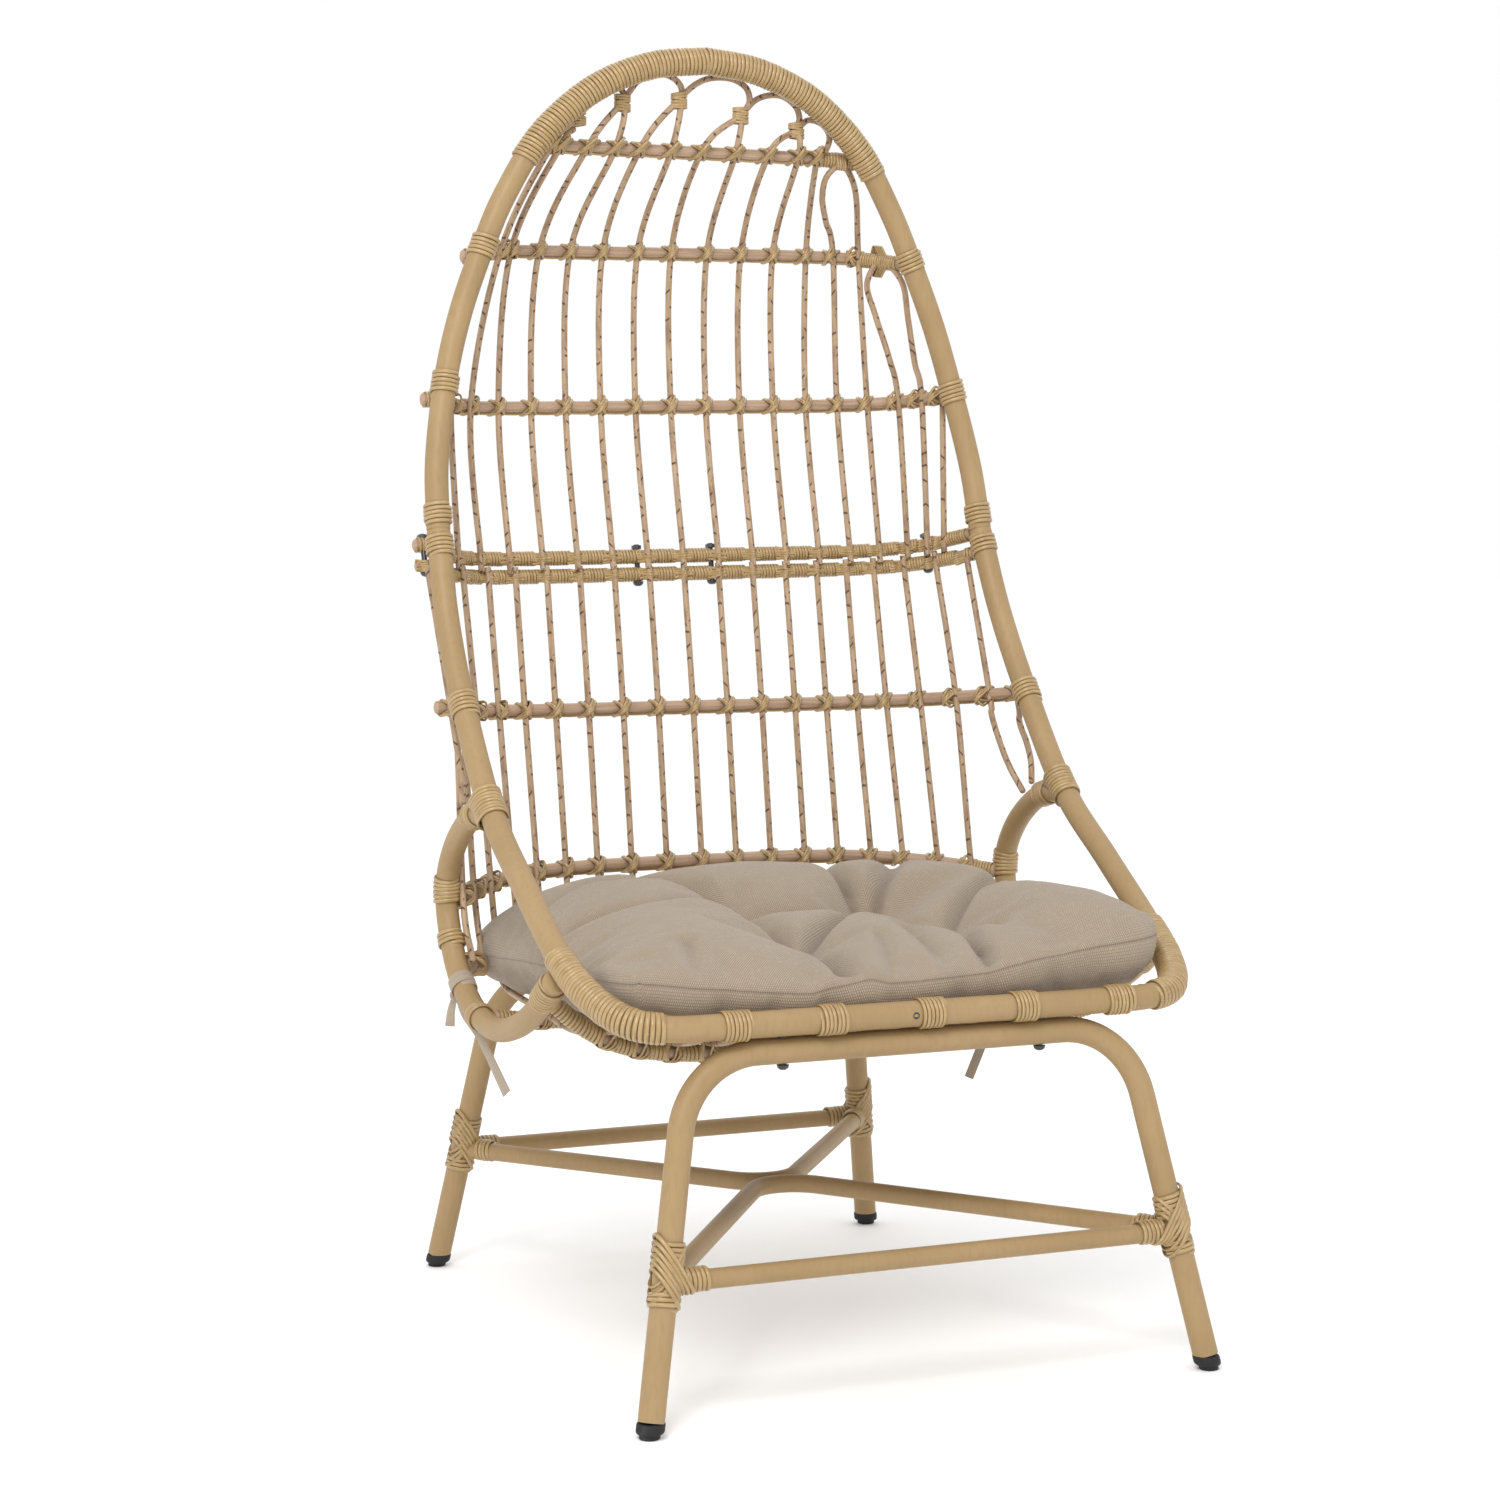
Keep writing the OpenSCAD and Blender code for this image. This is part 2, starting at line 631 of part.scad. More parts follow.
module tie(side, tail) {
    knot = [side * tie_knot.x, tie_knot.y, tie_knot.z];
    color("rosybrown") difference() {
        union() {
            ring(knot, tie_dir, tie_w, tube_d, tube_d + 7);
            tape([knot + [-side * 14, -3, 4], knot + [-side * 31, -6, 24]]);
            tape(tail);
        }
        round_bar(knot - tie_dir * 0.45, knot + tie_dir * 0.45, tube_d + 0.6);
    }
}

// ---------- assembly ----------
upper_rim();
lower_rim();
mirror([1, 0, 0]) rim_spigot();  // rim_spigot_left
rim_spigot();  // rim_spigot_right
mirror([1, 0, 0]) side_bracket();  // side_bracket_left
side_bracket();  // side_bracket_right
bar(0);  // back_bar_1
bar(1);  // back_bar_2
bar(2);  // back_bar_3
bar(3);  // back_bar_4
bar(4);  // back_bar_5
bar(5);  // back_bar_6
bar(6);  // seat_back_bar
rear_seat_bar();
bar(8);  // middle_seat_bar
bar(9);  // front_seat_bar
upper_rods();
lower_rods();
seat_rods();
top_rim_binding();
mirror([1, 0, 0]) corner_binding();  // corner_binding_left
corner_binding();  // corner_binding_right
rim_bindings();
rail_bindings();
petal_knots();
joint_bolts();
joint_nuts();
front_leg_frame();
rear_leg_frame();
front_stretcher();
rear_stretcher();
front_brace();
rear_brace();
mirror([1, 0, 0]) leg_binding(true);  // leg_binding_front_left
leg_binding(true);  // leg_binding_front_right
mirror([1, 0, 0]) leg_binding(false);  // leg_binding_rear_left
leg_binding(false);  // leg_binding_rear_right
mirror([1, 0, 0]) foot(true);  // foot_front_left
foot(true);  // foot_front_right
mirror([1, 0, 0]) foot(false);  // foot_rear_left
foot(false);  // foot_rear_right
rear_lugs();
front_frame_bolts();
rear_frame_bolts();
frame_spacers();
frame_nuts();
seat_cushion();
tie(-1, left_tail);  // tie_left
tie(1, right_tail);  // tie_right
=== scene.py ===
"""The looks of a high-backed garden lounge chair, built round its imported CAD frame.

Everything is in metres. The lists marked mm repeat the design's own points in millimetres and are
scaled as they are read.
"""

import json
import math

import bpy
import numpy as np
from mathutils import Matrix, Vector


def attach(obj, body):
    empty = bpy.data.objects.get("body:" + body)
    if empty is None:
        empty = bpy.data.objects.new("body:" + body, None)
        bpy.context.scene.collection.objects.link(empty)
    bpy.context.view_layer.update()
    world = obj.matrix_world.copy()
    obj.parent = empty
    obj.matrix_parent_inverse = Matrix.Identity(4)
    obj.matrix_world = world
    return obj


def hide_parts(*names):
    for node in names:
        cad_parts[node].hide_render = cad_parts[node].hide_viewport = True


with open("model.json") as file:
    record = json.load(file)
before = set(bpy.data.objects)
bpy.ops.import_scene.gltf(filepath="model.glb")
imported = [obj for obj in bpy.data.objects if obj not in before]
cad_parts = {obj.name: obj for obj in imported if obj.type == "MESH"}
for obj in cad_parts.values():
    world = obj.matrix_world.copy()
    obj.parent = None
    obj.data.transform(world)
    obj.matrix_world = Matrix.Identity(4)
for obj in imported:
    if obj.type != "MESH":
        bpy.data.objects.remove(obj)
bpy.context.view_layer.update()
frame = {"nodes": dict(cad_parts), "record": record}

# ---------- sizes, in metres ----------
MM = 0.001
TUBE_R = 12.7 * MM
BRACKET_R = 12 * MM
BAR_R = 7 * MM
REAR_BAR_R = 9.5 * MM
ROD_R = 3.5 * MM
GAP = 0.3 * MM
STRIP_PITCH = 4.7 * MM
STRIP_HALF_W = 2.3 * MM
STRIP_HALF_T = 1.6 * MM
CORD_HALF_W = 1.8 * MM          # the narrower strip of the ties
CORD_HALF_T = 1.2 * MM
STRIP_GIRTH = 10 * MM           # a strip's UV map goes once round in this much
TURN_STEPS = 22                 # points in each turn of a winding, and in each tied ring
RING_STEPS = 28
WRAPPED_R = BAR_R - 0.6 * MM    # the core of the bars that are wound all over
FRONT = np.array([0.0, -1.0, 0.0])
UP = np.array([0.0, 0.0, 1.0])
RIGHT = np.array([1.0, 0.0, 0.0])
SIDES = ((-1, "left"), (1, "right"))

# ---------- the design's points, mm ----------
UPPER_HALF = [
    [322, 177, 828], [318, 194, 900], [303, 211, 985], [283, 219, 1060], [256, 223, 1132],
    [230, 224, 1190], [190, 221, 1254], [132, 217, 1306], [66, 215, 1335], [0, 214, 1344],
]
LOWER_HALF = [
    [322, 177, 828], [326, 138, 740], [328, 77, 649], [328, -11, 546], [327, -104, 482],
    [324, -196, 423], [314, -254, 392], [292, -296, 373], [256, -312, 367], [200, -313, 366],
    [100, -313, 366], [0, -313, 366],
]
BRACKET_X = 330
BRACKET_YZ = [
    [-5, 546], [46, 536], [93, 509], [123, 474], [129, 440], [118, 408], [96, 376],
    [62, 350], [18, 334], [-35, 330], [-95, 343], [-148, 366], [-203, 402],
]
# Each cross bar: half width where it turns in, overhang, [y, z] at its ends, [y, z] in the
# middle, squareness of its bow and rise towards the right-hand side.
BARS = [
    [196, 4, [242, 1243], [247, 1247], 9, 0],
    [256, 16, [250, 1128], [337, 1142], 9, 0.015],
    [304, 16, [243, 975], [329, 968], 9, 0.02],
    [322, 20, [203, 818], [292, 799], 9, 0.015],
    [322, 20, [195, 796], [289, 779], 9, 0.015],
    [328, 18, [118, 645], [263, 630], 7, 0],
    [317, 0, [127, 444], [238, 459], 4, 0],
    [317, 0, [97, 378], [226, 364.7], 4, 0],
    [317, 0, [18, 334], [18, 325], 6, 0],
    [317, 0, [-164, 374], [-172, 316], 6, 0],
]
BAR_NODES = [
    "back_bar_1", "back_bar_2", "back_bar_3", "back_bar_4", "back_bar_5", "back_bar_6",
    "seat_back_bar", "rear_seat_bar", "middle_seat_bar", "front_seat_bar",
]
# The first and last rod that each bar carries, and the bar that gives the rods' slope there.
RODS_ON = [(-6, 4), (-6, 6), (-9, 9), (-9, 9), (-10, 10), (-10, 10), (-9, 8), (-9, 8)]
NEIGHBOUR = [1, 2, 3, 2, 5, 4, 5, 6]
ROD_X = [0, 43, 85, 127, 168, 207, 242, 272, 290, 303, 316]
LOW_ROD_X = [0, 42, 84, 125, 164, 201, 234, 267, 295, 316, 332]
FIRST_TOP_ROD = -6
TOP_RODS = [
    [-173, -162, -130, -98, -69, -32, 4, 45, 85, 122, 145],
    [-204, -190, -155, -118, -79, -37, 4, 48, 90, 130, 171, 202, 226],
]
PETALS = [
    [-6, -3, [[-142, 1277], [-120, 1306], [-98, 1314], [-87, 1298]]],
    [-4, -1, [[-91, 1296], [-70, 1322], [-44, 1330], [-24, 1322], [-20, 1303]]],
    [-2, 1, [[-24, 1302], [4, 1325], [34, 1330], [56, 1322], [62, 1306], [54, 1289]]],
    [0, 3, [[50, 1289], [72, 1309], [98, 1314], [117, 1304], [123, 1290], [120, 1276]]],
    [2, 4, [[119, 1276], [133, 1288], [150, 1285], [160, 1272], [156, 1256]]],
]
PETAL_Y = 236
KNOTS = [[-142, 1277], [-90, 1296], [-23, 1302], [51, 1289], [119, 1276]]
SIDE_LOOPS = [
    [0, 5, 6, [[180, 1182], [167, 1206], [164, 1228], [176, 1240], [192, 1229],
               [208, 1203]]],
    [1, 7, 8, [[257, 1025], [242, 1076], [234, 1112], [243, 1136], [258, 1112],
               [271, 1070], [282, 1020]]],
]
BRACKET_SEAT = (127.5, 452)
BRACKET_TURNS = [[(34, 540), 12], [(114, 402), 8], [(22, 335), 7]]
BRACKET_RINGS = 8               # the rings that hold a bracket's top to the rim
BRACKET_RODS = [
    [-10, [[-324, 98, 575], [-329, 78, 547]]],
    [9, [[315, 135, 622], [319, 125, 594], [323, 107, 564], [328, 82, 536]]],
    [10, [[331, 98, 614], [336, 91, 592], [338, 84, 571], [331, 69, 547]]],
]
SEAT_LINE = [
    [180, 360], [120, 343], [20, 336], [-80, 329], [-172, 327], [-240, 338], [-280, 353],
]
SEAT_FLARE = [10, 50]           # how far the seat's sides curve up behind and before FLARE_Y
FLARE_Y = -80
UNDER_BAR = 13.3                # how far in front of the rear seat bar's axis its rods pass
RAIL_Y = -313
RAIL_Z = 366
RAIL_BINDING_X = [-192, -92, 11, 114, 219]
RIM_BINDING_AT = [
    [[255, 223, 1134], 24], [[303, 211, 985], 24], [[321, 181, 846], 22],
    [[323, 171, 810], 22], [[328, 77, 649], 26],
]
ROD_OFF = 10.8                  # a rod's axis in front of a bar's axis
# Each pair of legs: the way it stands from the middle, [x, y] at the floor and at the top, and
# how deep its V brace reaches.
LEG_PAIRS = [
    ["front", FRONT, [[298, -362], [235, -303]], 19.35],
    ["rear", -FRONT, [[268, 362], [214, 295]], 38.65],
]
FRAME_TOP_Z = 338
STRETCHER_Z = 136
BRACE_R = 9.5 * MM
BRACE_MID_Y = 29
BRACE_BEND = 45
SHOULDER_R = 85
CAP_H = 14
TAPE_HALF_W = 5 * MM
TAPE_HALF_T = 0.5 * MM
TIE_KNOT = [330, 78, 361]
TIE_TAILS = {
    "left": [[[-334, 84, 347], [-334, 60, 331], [-333, 10, 313], [-332, -66, 271]],
             [[-336, 88, 345], [-338, 92, 330], [-340, 90, 316]]],
    "right": [[[318, 83, 350], [300, 74, 318], [276, 68, 274], [252, 66, 224]],
              [[334, 88, 346], [338, 90, 328], [336, 92, 314]]],
}

# ---------- the cushion ----------
CUSHION_HALF_W = 300 * MM
CUSHION_LEN = 502 * MM
CUSHION_FRONT = -306 * MM
CUSHION_REACH = 304 * MM        # nothing swells wider than this
CUSHION_TILT = 3                # degrees down towards the back
FRONT_SQUARE = 0.2              # how round the corners are: 0 is square and 1 an ellipse
REAR_SQUARE = 0.23
SEAM_Z = 410 * MM
PILLOW_SPREAD = 75 * MM         # how far each pillow's height is felt
TUFT_SPREAD = 24 * MM
TUFT_HOLD = 9 * MM              # Cloth can't move what is this near a tuft
BELLY = 50 * MM                 # the underside's swell, and how much more at the front
BELLY_SAG = 26 * MM
PANEL = [0.66, 0.6]             # each panel's cloth, cut flat
COLUMNS, ROWS = 81, 71
SEAM_TUCK = 1.5 * MM
FOLD_SHADE_FULL = 30 * MM             # the press at which a fold's painted shade is at its darkest
SIM_FRAMES = 20
SIM_CAP = 26 * MM               # the furthest that Cloth may move a point
CLOTH = {
    "quality": 5, "mass": 0.3, "tension_stiffness": 12, "compression_stiffness": 8,
    "shear_stiffness": 4, "bending_stiffness": 0.4, "use_pressure": True,
    "uniform_pressure_force": 4, "shrink_min": -0.05, "vertex_group_mass": "pinned",
}
# The seam's rise, mm, by the angle round the plan in degrees from the right.
SEAM_RISE = [
    (0, 4), (45, -4), (90, 0), (135, -7), (160, -2), (180, 0), (227, 0), (233, -6), (244, -15),
    (250, -17), (261, -6), (265, -12), (280, -10), (286, -7), (294, 2), (305, 11), (315, 16),
    (330, 12), (360, 4),
]
# How high the top swells, mm, at spots of the plan.
PILLOWS = [
    (32, (-200, -180)), (16, (0, -240)), (18, (80, -230)), (60, (230, -140)), (32, (0, -110)),
    (22, (60, -160)), (60, (-190, -10)), (72, (-220, 110)), (74, (-20, 100)), (75, (120, 120)),
    (70, (250, 60)),
]
# Each tuft's depth and spot, mm, and each crease's depth, width and line.
TUFTS = [
    (34, (-68, -187)), (26, (-77, -37)), (38, (74, -46)), (26, (112, -149)),
]
CREASES = [
    (24, 12, [(-68, -187), (-77, -37)]),
    (20, 12, [(-77, -37), (74, -46)]),
    (24, 11, [(-68, -187), (74, -46)]),
    (14, 10, [(74, -46), (112, -149)]),
    (27, 12, [(74, -46), (76, 60), (106, 188)]),
    (27, 12, [(74, -46), (136, 30), (184, 120)]),
    (24, 12, [(-77, -37), (-110, 60), (-138, 118), (-160, 178)]),
    (22, 14, [(-77, -37), (-170, -62), (-282, -66)]),
    (14, 12, [(-110, 60), (-200, 60), (-286, 40)]),
    (22, 12, [(112, -149), (190, -70), (262, 10)]),
    (34, 12, [(-68, -187), (-60, -240), (-64, -300)]),
    (36, 10, [(112, -149), (104, -220), (86, -300)]),
    (14, 9, [(112, -149), (146, -200), (140, -230)]),
    (12, 9, [(10, -205), (-22, -298)]),
    (17, 9, [(56, -180), (40, -290)]),
    (12, 10, [(-210, -240), (-226, -296)]),
]


# ---------- curves ----------
def unit(v):
    """A vector, or each row of several, at length 1."""
    v = np.asarray(v, float)
    return v / np.linalg.norm(v, axis=-1, keepdims=True)


def square_to(axis, v):
    """The direction square to an axis that is nearest to v."""
    return unit(v - (v @ axis) * axis)


def circle(count):
    """Angles evenly round a circle."""
    return 2 * math.pi * np.arange(count) / count


def swing(angles, u, w):
    """The directions at angles from u towards w."""
    return np.cos(angles)[:, None] * u + np.sin(angles)[:, None] * w


def smooth(points, steps=16):
    """A smooth curve through the points, with that many steps between neighbours."""
    p = np.asarray(points, float)
    p = np.vstack([2 * p[0] - p[1], p, 2 * p[-1] - p[-2]])
    t = np.linspace(0, 1, steps, endpoint=False)[:, None]
    spans = [
        0.5 * (2 * b + (c - a) * t + (2 * a - 5 * b + 4 * c - d) * t**2
               + (3 * b - a - 3 * c + d) * t**3)
        for a, b, c, d in zip(p, p[1:], p[2:], p[3:])
    ]
    return np.vstack(spans + [p[-2][None]])


class Path:
    """A curve measured along its length, with a frame that turns as little as it can.

    p is the point, t the direction, u a side that starts towards the front, and w = t x u.
    """

    def __init__(self, points, step=0.003):
        points = np.asarray(points, float)
        far = np.concatenate([[0], np.cumsum(np.linalg.norm(np.diff(points, axis=0), axis=1))])
        self.length = far[-1]
        self.s = np.linspace(0, self.length, max(int(self.length / step) + 1, 4))
        self.p = np.column_stack([np.interp(self.s, far, points[:, i]) for i in range(3)])
        self.t = unit(np.gradient(self.p, self.s, axis=0))
        side = FRONT if abs(self.t[0] @ FRONT) < 0.8 else RIGHT
        sides = []
        for direction in self.t:
            side = square_to(direction, side)
            sides.append(side)
        self.u = np.array(sides)
        self.w = np.cross(self.t, self.u)

    def at(self, s):
        """Points, directions and both sides at distances along the path."""
        s = np.clip(s, 0, self.length)
        return [
            np.column_stack([np.interp(s, self.s, a[:, i]) for i in range(3)])
            for a in (self.p, self.t, self.u, self.w)
        ]

    def spot(self, s):
        """The point, direction and both sides at one distance along the path."""
        return [v[0] for v in self.at([s])]

    def near(self, point, side=None):
        """The distance along the path of its nearest point; with a side, the point is in mm."""
        if side:
            point = np.array(point) * [side * MM, MM, MM]
        return self.s[np.argmin(np.linalg.norm(self.p - point, axis=1))]


def bar_fill(i, x):
    return 1 - np.minimum(np.abs(x) / BARS[i][0], 1) ** BARS[i][4]


def bar_at(i, x):
    """A point on a cross bar's axis, mm."""
    ends, middle = np.array(BARS[i][2], float), np.array(BARS[i][3], float)
    y, z = ends + (middle - ends) * bar_fill(i, x)
    return np.array([x, y, z + BARS[i][5] * x])


def bar_path(i):
    half = BARS[i][0] + BARS[i][1]
    angles = np.radians(np.linspace(-90, 90, 121))
    return Path([bar_at(i, half * math.sin(a)) * MM for a in angles])


def low_x(k):
    return math.copysign(LOW_ROD_X[abs(k)], k)


def rod_at(i, k):
    """Where an upright rod crosses a cross bar, mm."""
    if i < 2:
        x = TOP_RODS[i][k - FIRST_TOP_ROD]
    elif i < 4:
        x = math.copysign(ROD_X[abs(k)], k)
    else:
        x = low_x(k)
    return bar_at(i, x) - [0, ROD_OFF, 0]


def on_back(x, z):
    """The back's surface in front of the bars, mm."""
    heights = [BARS[i][3][1] for i in range(6, -1, -1)]
    depths = [bar_at(i, x)[1] for i in range(6, -1, -1)]
    return np.array([x, np.interp(z, heights, depths) - ROD_OFF, z])


def lifted(point):
    return np.array([point[0], PETAL_Y, point[1]], float)


def upper_rod(k, top):
    return [rod_at(3, k) - [0, 1, 5]] + [rod_at(i, k) for i in range(3, top - 1, -1)]


def upper_rod_paths():
    runs = [upper_rod(a, 0) + [lifted(q) for q in arch] + upper_rod(b, 0)[::-1]
            for a, b, arch in PETALS]
    runs.append(upper_rod(-5, 0) + [lifted([-146, 1266])])
    runs += [upper_rod(a, bar + 1) + [on_back(*q) for q in arch] + upper_rod(b, bar + 1)[::-1]
             for bar, a, b, arch in SIDE_LOOPS]
    runs.append(upper_rod(-7, 2) + [np.array([-262, 286, 1060]), np.array([-250, 240, 1118])])
    runs += [upper_rod(k, 2) for k in (-9, -8, 9)]
    return [Path(smooth(run) * MM) for run in runs]


def lower_rod_paths():
    runs = []
    for k in range(-9, 9):
        foot = bar_at(7, low_x(k)) + [0, -UNDER_BAR, 4]
        runs.append([rod_at(4, k) + [0, 0.5, 5]] + [rod_at(i, k) for i in (4, 5, 6)] + [foot])
    runs += [[rod_at(4, k), rod_at(5, k)] + tail for k, tail in BRACKET_RODS]
    return [Path(smooth(run) * MM) for run in runs]


def seat_flare(x, y):
    """How far the seat curves up towards its sides, mm."""
    return (np.abs(x) / BARS[9][0]) ** 6 * np.where(y < FLARE_Y, SEAT_FLARE[1], SEAT_FLARE[0])


def seat_rod_paths():
    runs = []
    for k in range(-7, 8):
        x = low_x(k)
        back = bar_at(7, x)
        line = [[x, y, z + seat_flare(x, y)] for y, z in SEAT_LINE if y < back[1] - 40]
        front = [x * 0.97, RAIL_Y + 16.5, RAIL_Z - 4]
        runs.append([back + [0, -UNDER_BAR, -6]] + line + [front])
    return [Path(smooth(run) * MM) for run in runs]


def mirrored(points):
    return np.asarray(points, float) * [-1, 1, 1]


def whole_rim(half):
    run = smooth(half)
    return Path(np.vstack([run, mirrored(run[-2::-1])]) * MM)


UPPER_RIM = whole_rim(UPPER_HALF)
LOWER_RIM = whole_rim(LOWER_HALF)


def bracket_path(side):
    return Path(smooth([[side * BRACKET_X, y, z] for y, z in BRACKET_YZ]) * MM)


# ---------- swept meshes ----------
class Skin:
    """Collects swept surfaces. Its UV map holds metres: x round the sweep and y along it."""

    def __init__(self):
        self.verts = []
        self.faces = []
        self.uvs = []
        self.count = 0

    def add(self, rings, closed=False, start=0.0, girth=None):
        """A surface through rings of points, capped at its ends unless it is closed."""
        n, m, _ = rings.shape
        self.verts.append(rings.reshape(-1, 3))
        i = np.arange(n if closed else n - 1)[:, None]
        j = np.arange(m)[None, :]
        after, beside = (i + 1) % n, (j + 1) % m
        quads = np.stack([i * m + j, i * m + beside, after * m + beside, after * m + j], -1)
        self.faces += (quads.reshape(-1, 4) + self.count).tolist()
        middle = rings.mean(1)
        steps = np.linalg.norm(np.roll(middle, -1, 0) - middle, axis=1)
        along = start + np.concatenate([[0], np.cumsum(steps)])
        if girth is None:
            girth = np.linalg.norm(np.roll(rings[0], -1, 0) - rings[0], axis=1).sum()
        left, right, near, far = np.broadcast_arrays(
            j * girth / m, (j + 1) * girth / m, along[i], along[i + 1])
        uv = np.stack([left, near, right, near, right, far, left, far], -1)
        self.uvs.append(uv.reshape(-1, 2))
        if not closed:
            self.faces.append([self.count + k for k in range(m - 1, -1, -1)])
            self.faces.append([self.count + (n - 1) * m + k for k in range(m)])
            self.uvs.append(np.zeros((2 * m, 2)))
        self.count += n * m

    def tube(self, path, radius, sides=24, start=0.0, taper=()):
        """A round tube; taper lists (distance from either end, share of the radius)."""
        s, share = path.s, np.ones_like(path.s)
        if taper:
            spots, shares = zip(*taper)
            s = np.unique(np.concatenate([spots, s[1:-1], [path.length - d for d in spots]]))
            share = np.interp(np.minimum(s, path.length - s), spots, shares)
        p, _, u, w = path.at(s)
        ring = swing(circle(sides), u[:, None], w[:, None])
        self.add(p[:, None] + radius * share[:, None, None] * ring, start=start)

    def strip(self, centre, outward, half_w, half_t, closed=False, start=0.0):
        """A flat oval strip along the points, with its flat side facing outward."""
        if closed:
            travel = np.roll(centre, -1, 0) - np.roll(centre, 1, 0)
        else:
            travel = np.gradient(centre, axis=0)
        side = unit(np.cross(outward, unit(travel)))
        a = circle(8)
        wide = np.sign(np.cos(a)) * np.abs(np.cos(a)) ** 0.8 * half_w
        high = np.sin(a) * half_t
        rings = centre[:, None] + wide[None, :, None] * side[:, None]
        self.add(rings + high[None, :, None] * outward[:, None], closed=closed, start=start,
                 girth=STRIP_GIRTH)


TUBE_END = ((0, 0.86), (0.6 * MM, 0.96), (1.6 * MM, 1.0))
ROD_END = ((0, 0.55), (0.8 * MM, 0.85), (2.2 * MM, 1.0))


def drift(rng, q, spacing, size):
    """A smooth random wander along q, between -size and size."""
    knots = np.arange(q[0] - spacing, q[-1] + 2 * spacing, spacing)
    return np.interp(q, knots, rng.uniform(-size, size, len(knots)))


def wind(skin, path, begin, end, radius, rng, pitch=STRIP_PITCH, half_w=STRIP_HALF_W,
         half_t=STRIP_HALF_T, first=0.0):
    """Strip wound round a path from one distance along it to another, its ends tucked in."""
    turns = (end - begin) / pitch
    q = np.linspace(0, turns, int(turns * TURN_STEPS) + 2)
    angle = first + 2 * math.pi * q
    s = begin + q * pitch + drift(rng, q, 0.7, 0.05 * pitch)
    p, _, u, w = path.at(s)
    outward = swing(angle, u, w)
    tucked = np.clip(np.minimum(q, turns - q) / 0.25, 0, 1)
    reach = radius + half_t * (0.7 + drift(rng, q, 0.7, 0.14)) - (1 - tucked) * 2 * half_t
    skin.strip(p + reach[:, None] * outward, outward, half_w, half_t, start=rng.uniform(0, 2))


def ring(skin, path, at, half, radius, rng, **turn):
    """A short winding that reaches half its length, mm, either side of a place."""
    wind(skin, path, at - half * MM, at + half * MM, radius, rng, **turn)


def loop(skin, origin, e, d, rounds, rng, lift=0.0, half_w=CORD_HALF_W, half_t=CORD_HALF_T):
    """A taut ring of strip in the plane of e and d, round some ellipses of that plane.

    Each ellipse is (centre along e, centre along d, half size along e, half size along d).
    """
    a = circle(RING_STEPS)
    c, s = np.cos(a), np.sin(a)
    best = np.full(RING_STEPS, -1.0)
    spot = np.zeros((RING_STEPS, 2))
    for x, y, rx, ry in rounds:
        rx, ry = rx + lift + half_t * 0.8, ry + lift + half_t * 0.8
        reach = np.hypot(rx * c, ry * s)
        support = x * c + y * s + reach
        mine = np.column_stack([x + rx * rx * c / reach, y + ry * ry * s / reach])
        spot = np.where((support > best)[:, None], mine, spot)
        best = np.maximum(best, support)
    n = np.cross(e, d)
    sway = drift(rng, a, 1.3, 0.25 * MM)
    centre = origin + spot[:, :1] * e + spot[:, 1:] * d + sway[:, None] * n
    skin.strip(centre, swing(a, e, d), half_w, half_t, closed=True, start=rng.uniform(0, 2))


def section(origin, e, d, point, axis, radius):
    """The ellipse in which a round bar cuts the plane of e and d through the origin."""
    n = np.cross(e, d)
    axis = unit(axis)
    slant = axis @ n
    cut = np.asarray(point) + axis * (((origin - point) @ n) / slant) - origin
    return (cut @ e, cut @ d, min(radius / abs(slant), 6 * radius), radius)


def lash(skin, origin, e, d, bars, rng, **strip):
    """A ring of strip round several bars, each (point, axis, radius), in one plane."""
    e = unit(e)
    d = square_to(e, d)
    loop(skin, origin, e, d, [section(origin, e, d, *bar) for bar in bars], rng, **strip)


# ---------- materials ----------
def srgb(*rgb):
    """A colour given as 0-255 screen values, in the linear values that shaders use."""
    linear = [((v / 255 + 0.055) / 1.055) ** 2.4 if v > 10 else v / 255 / 12.92 for v in rgb]
    return (*linear, 1.0)


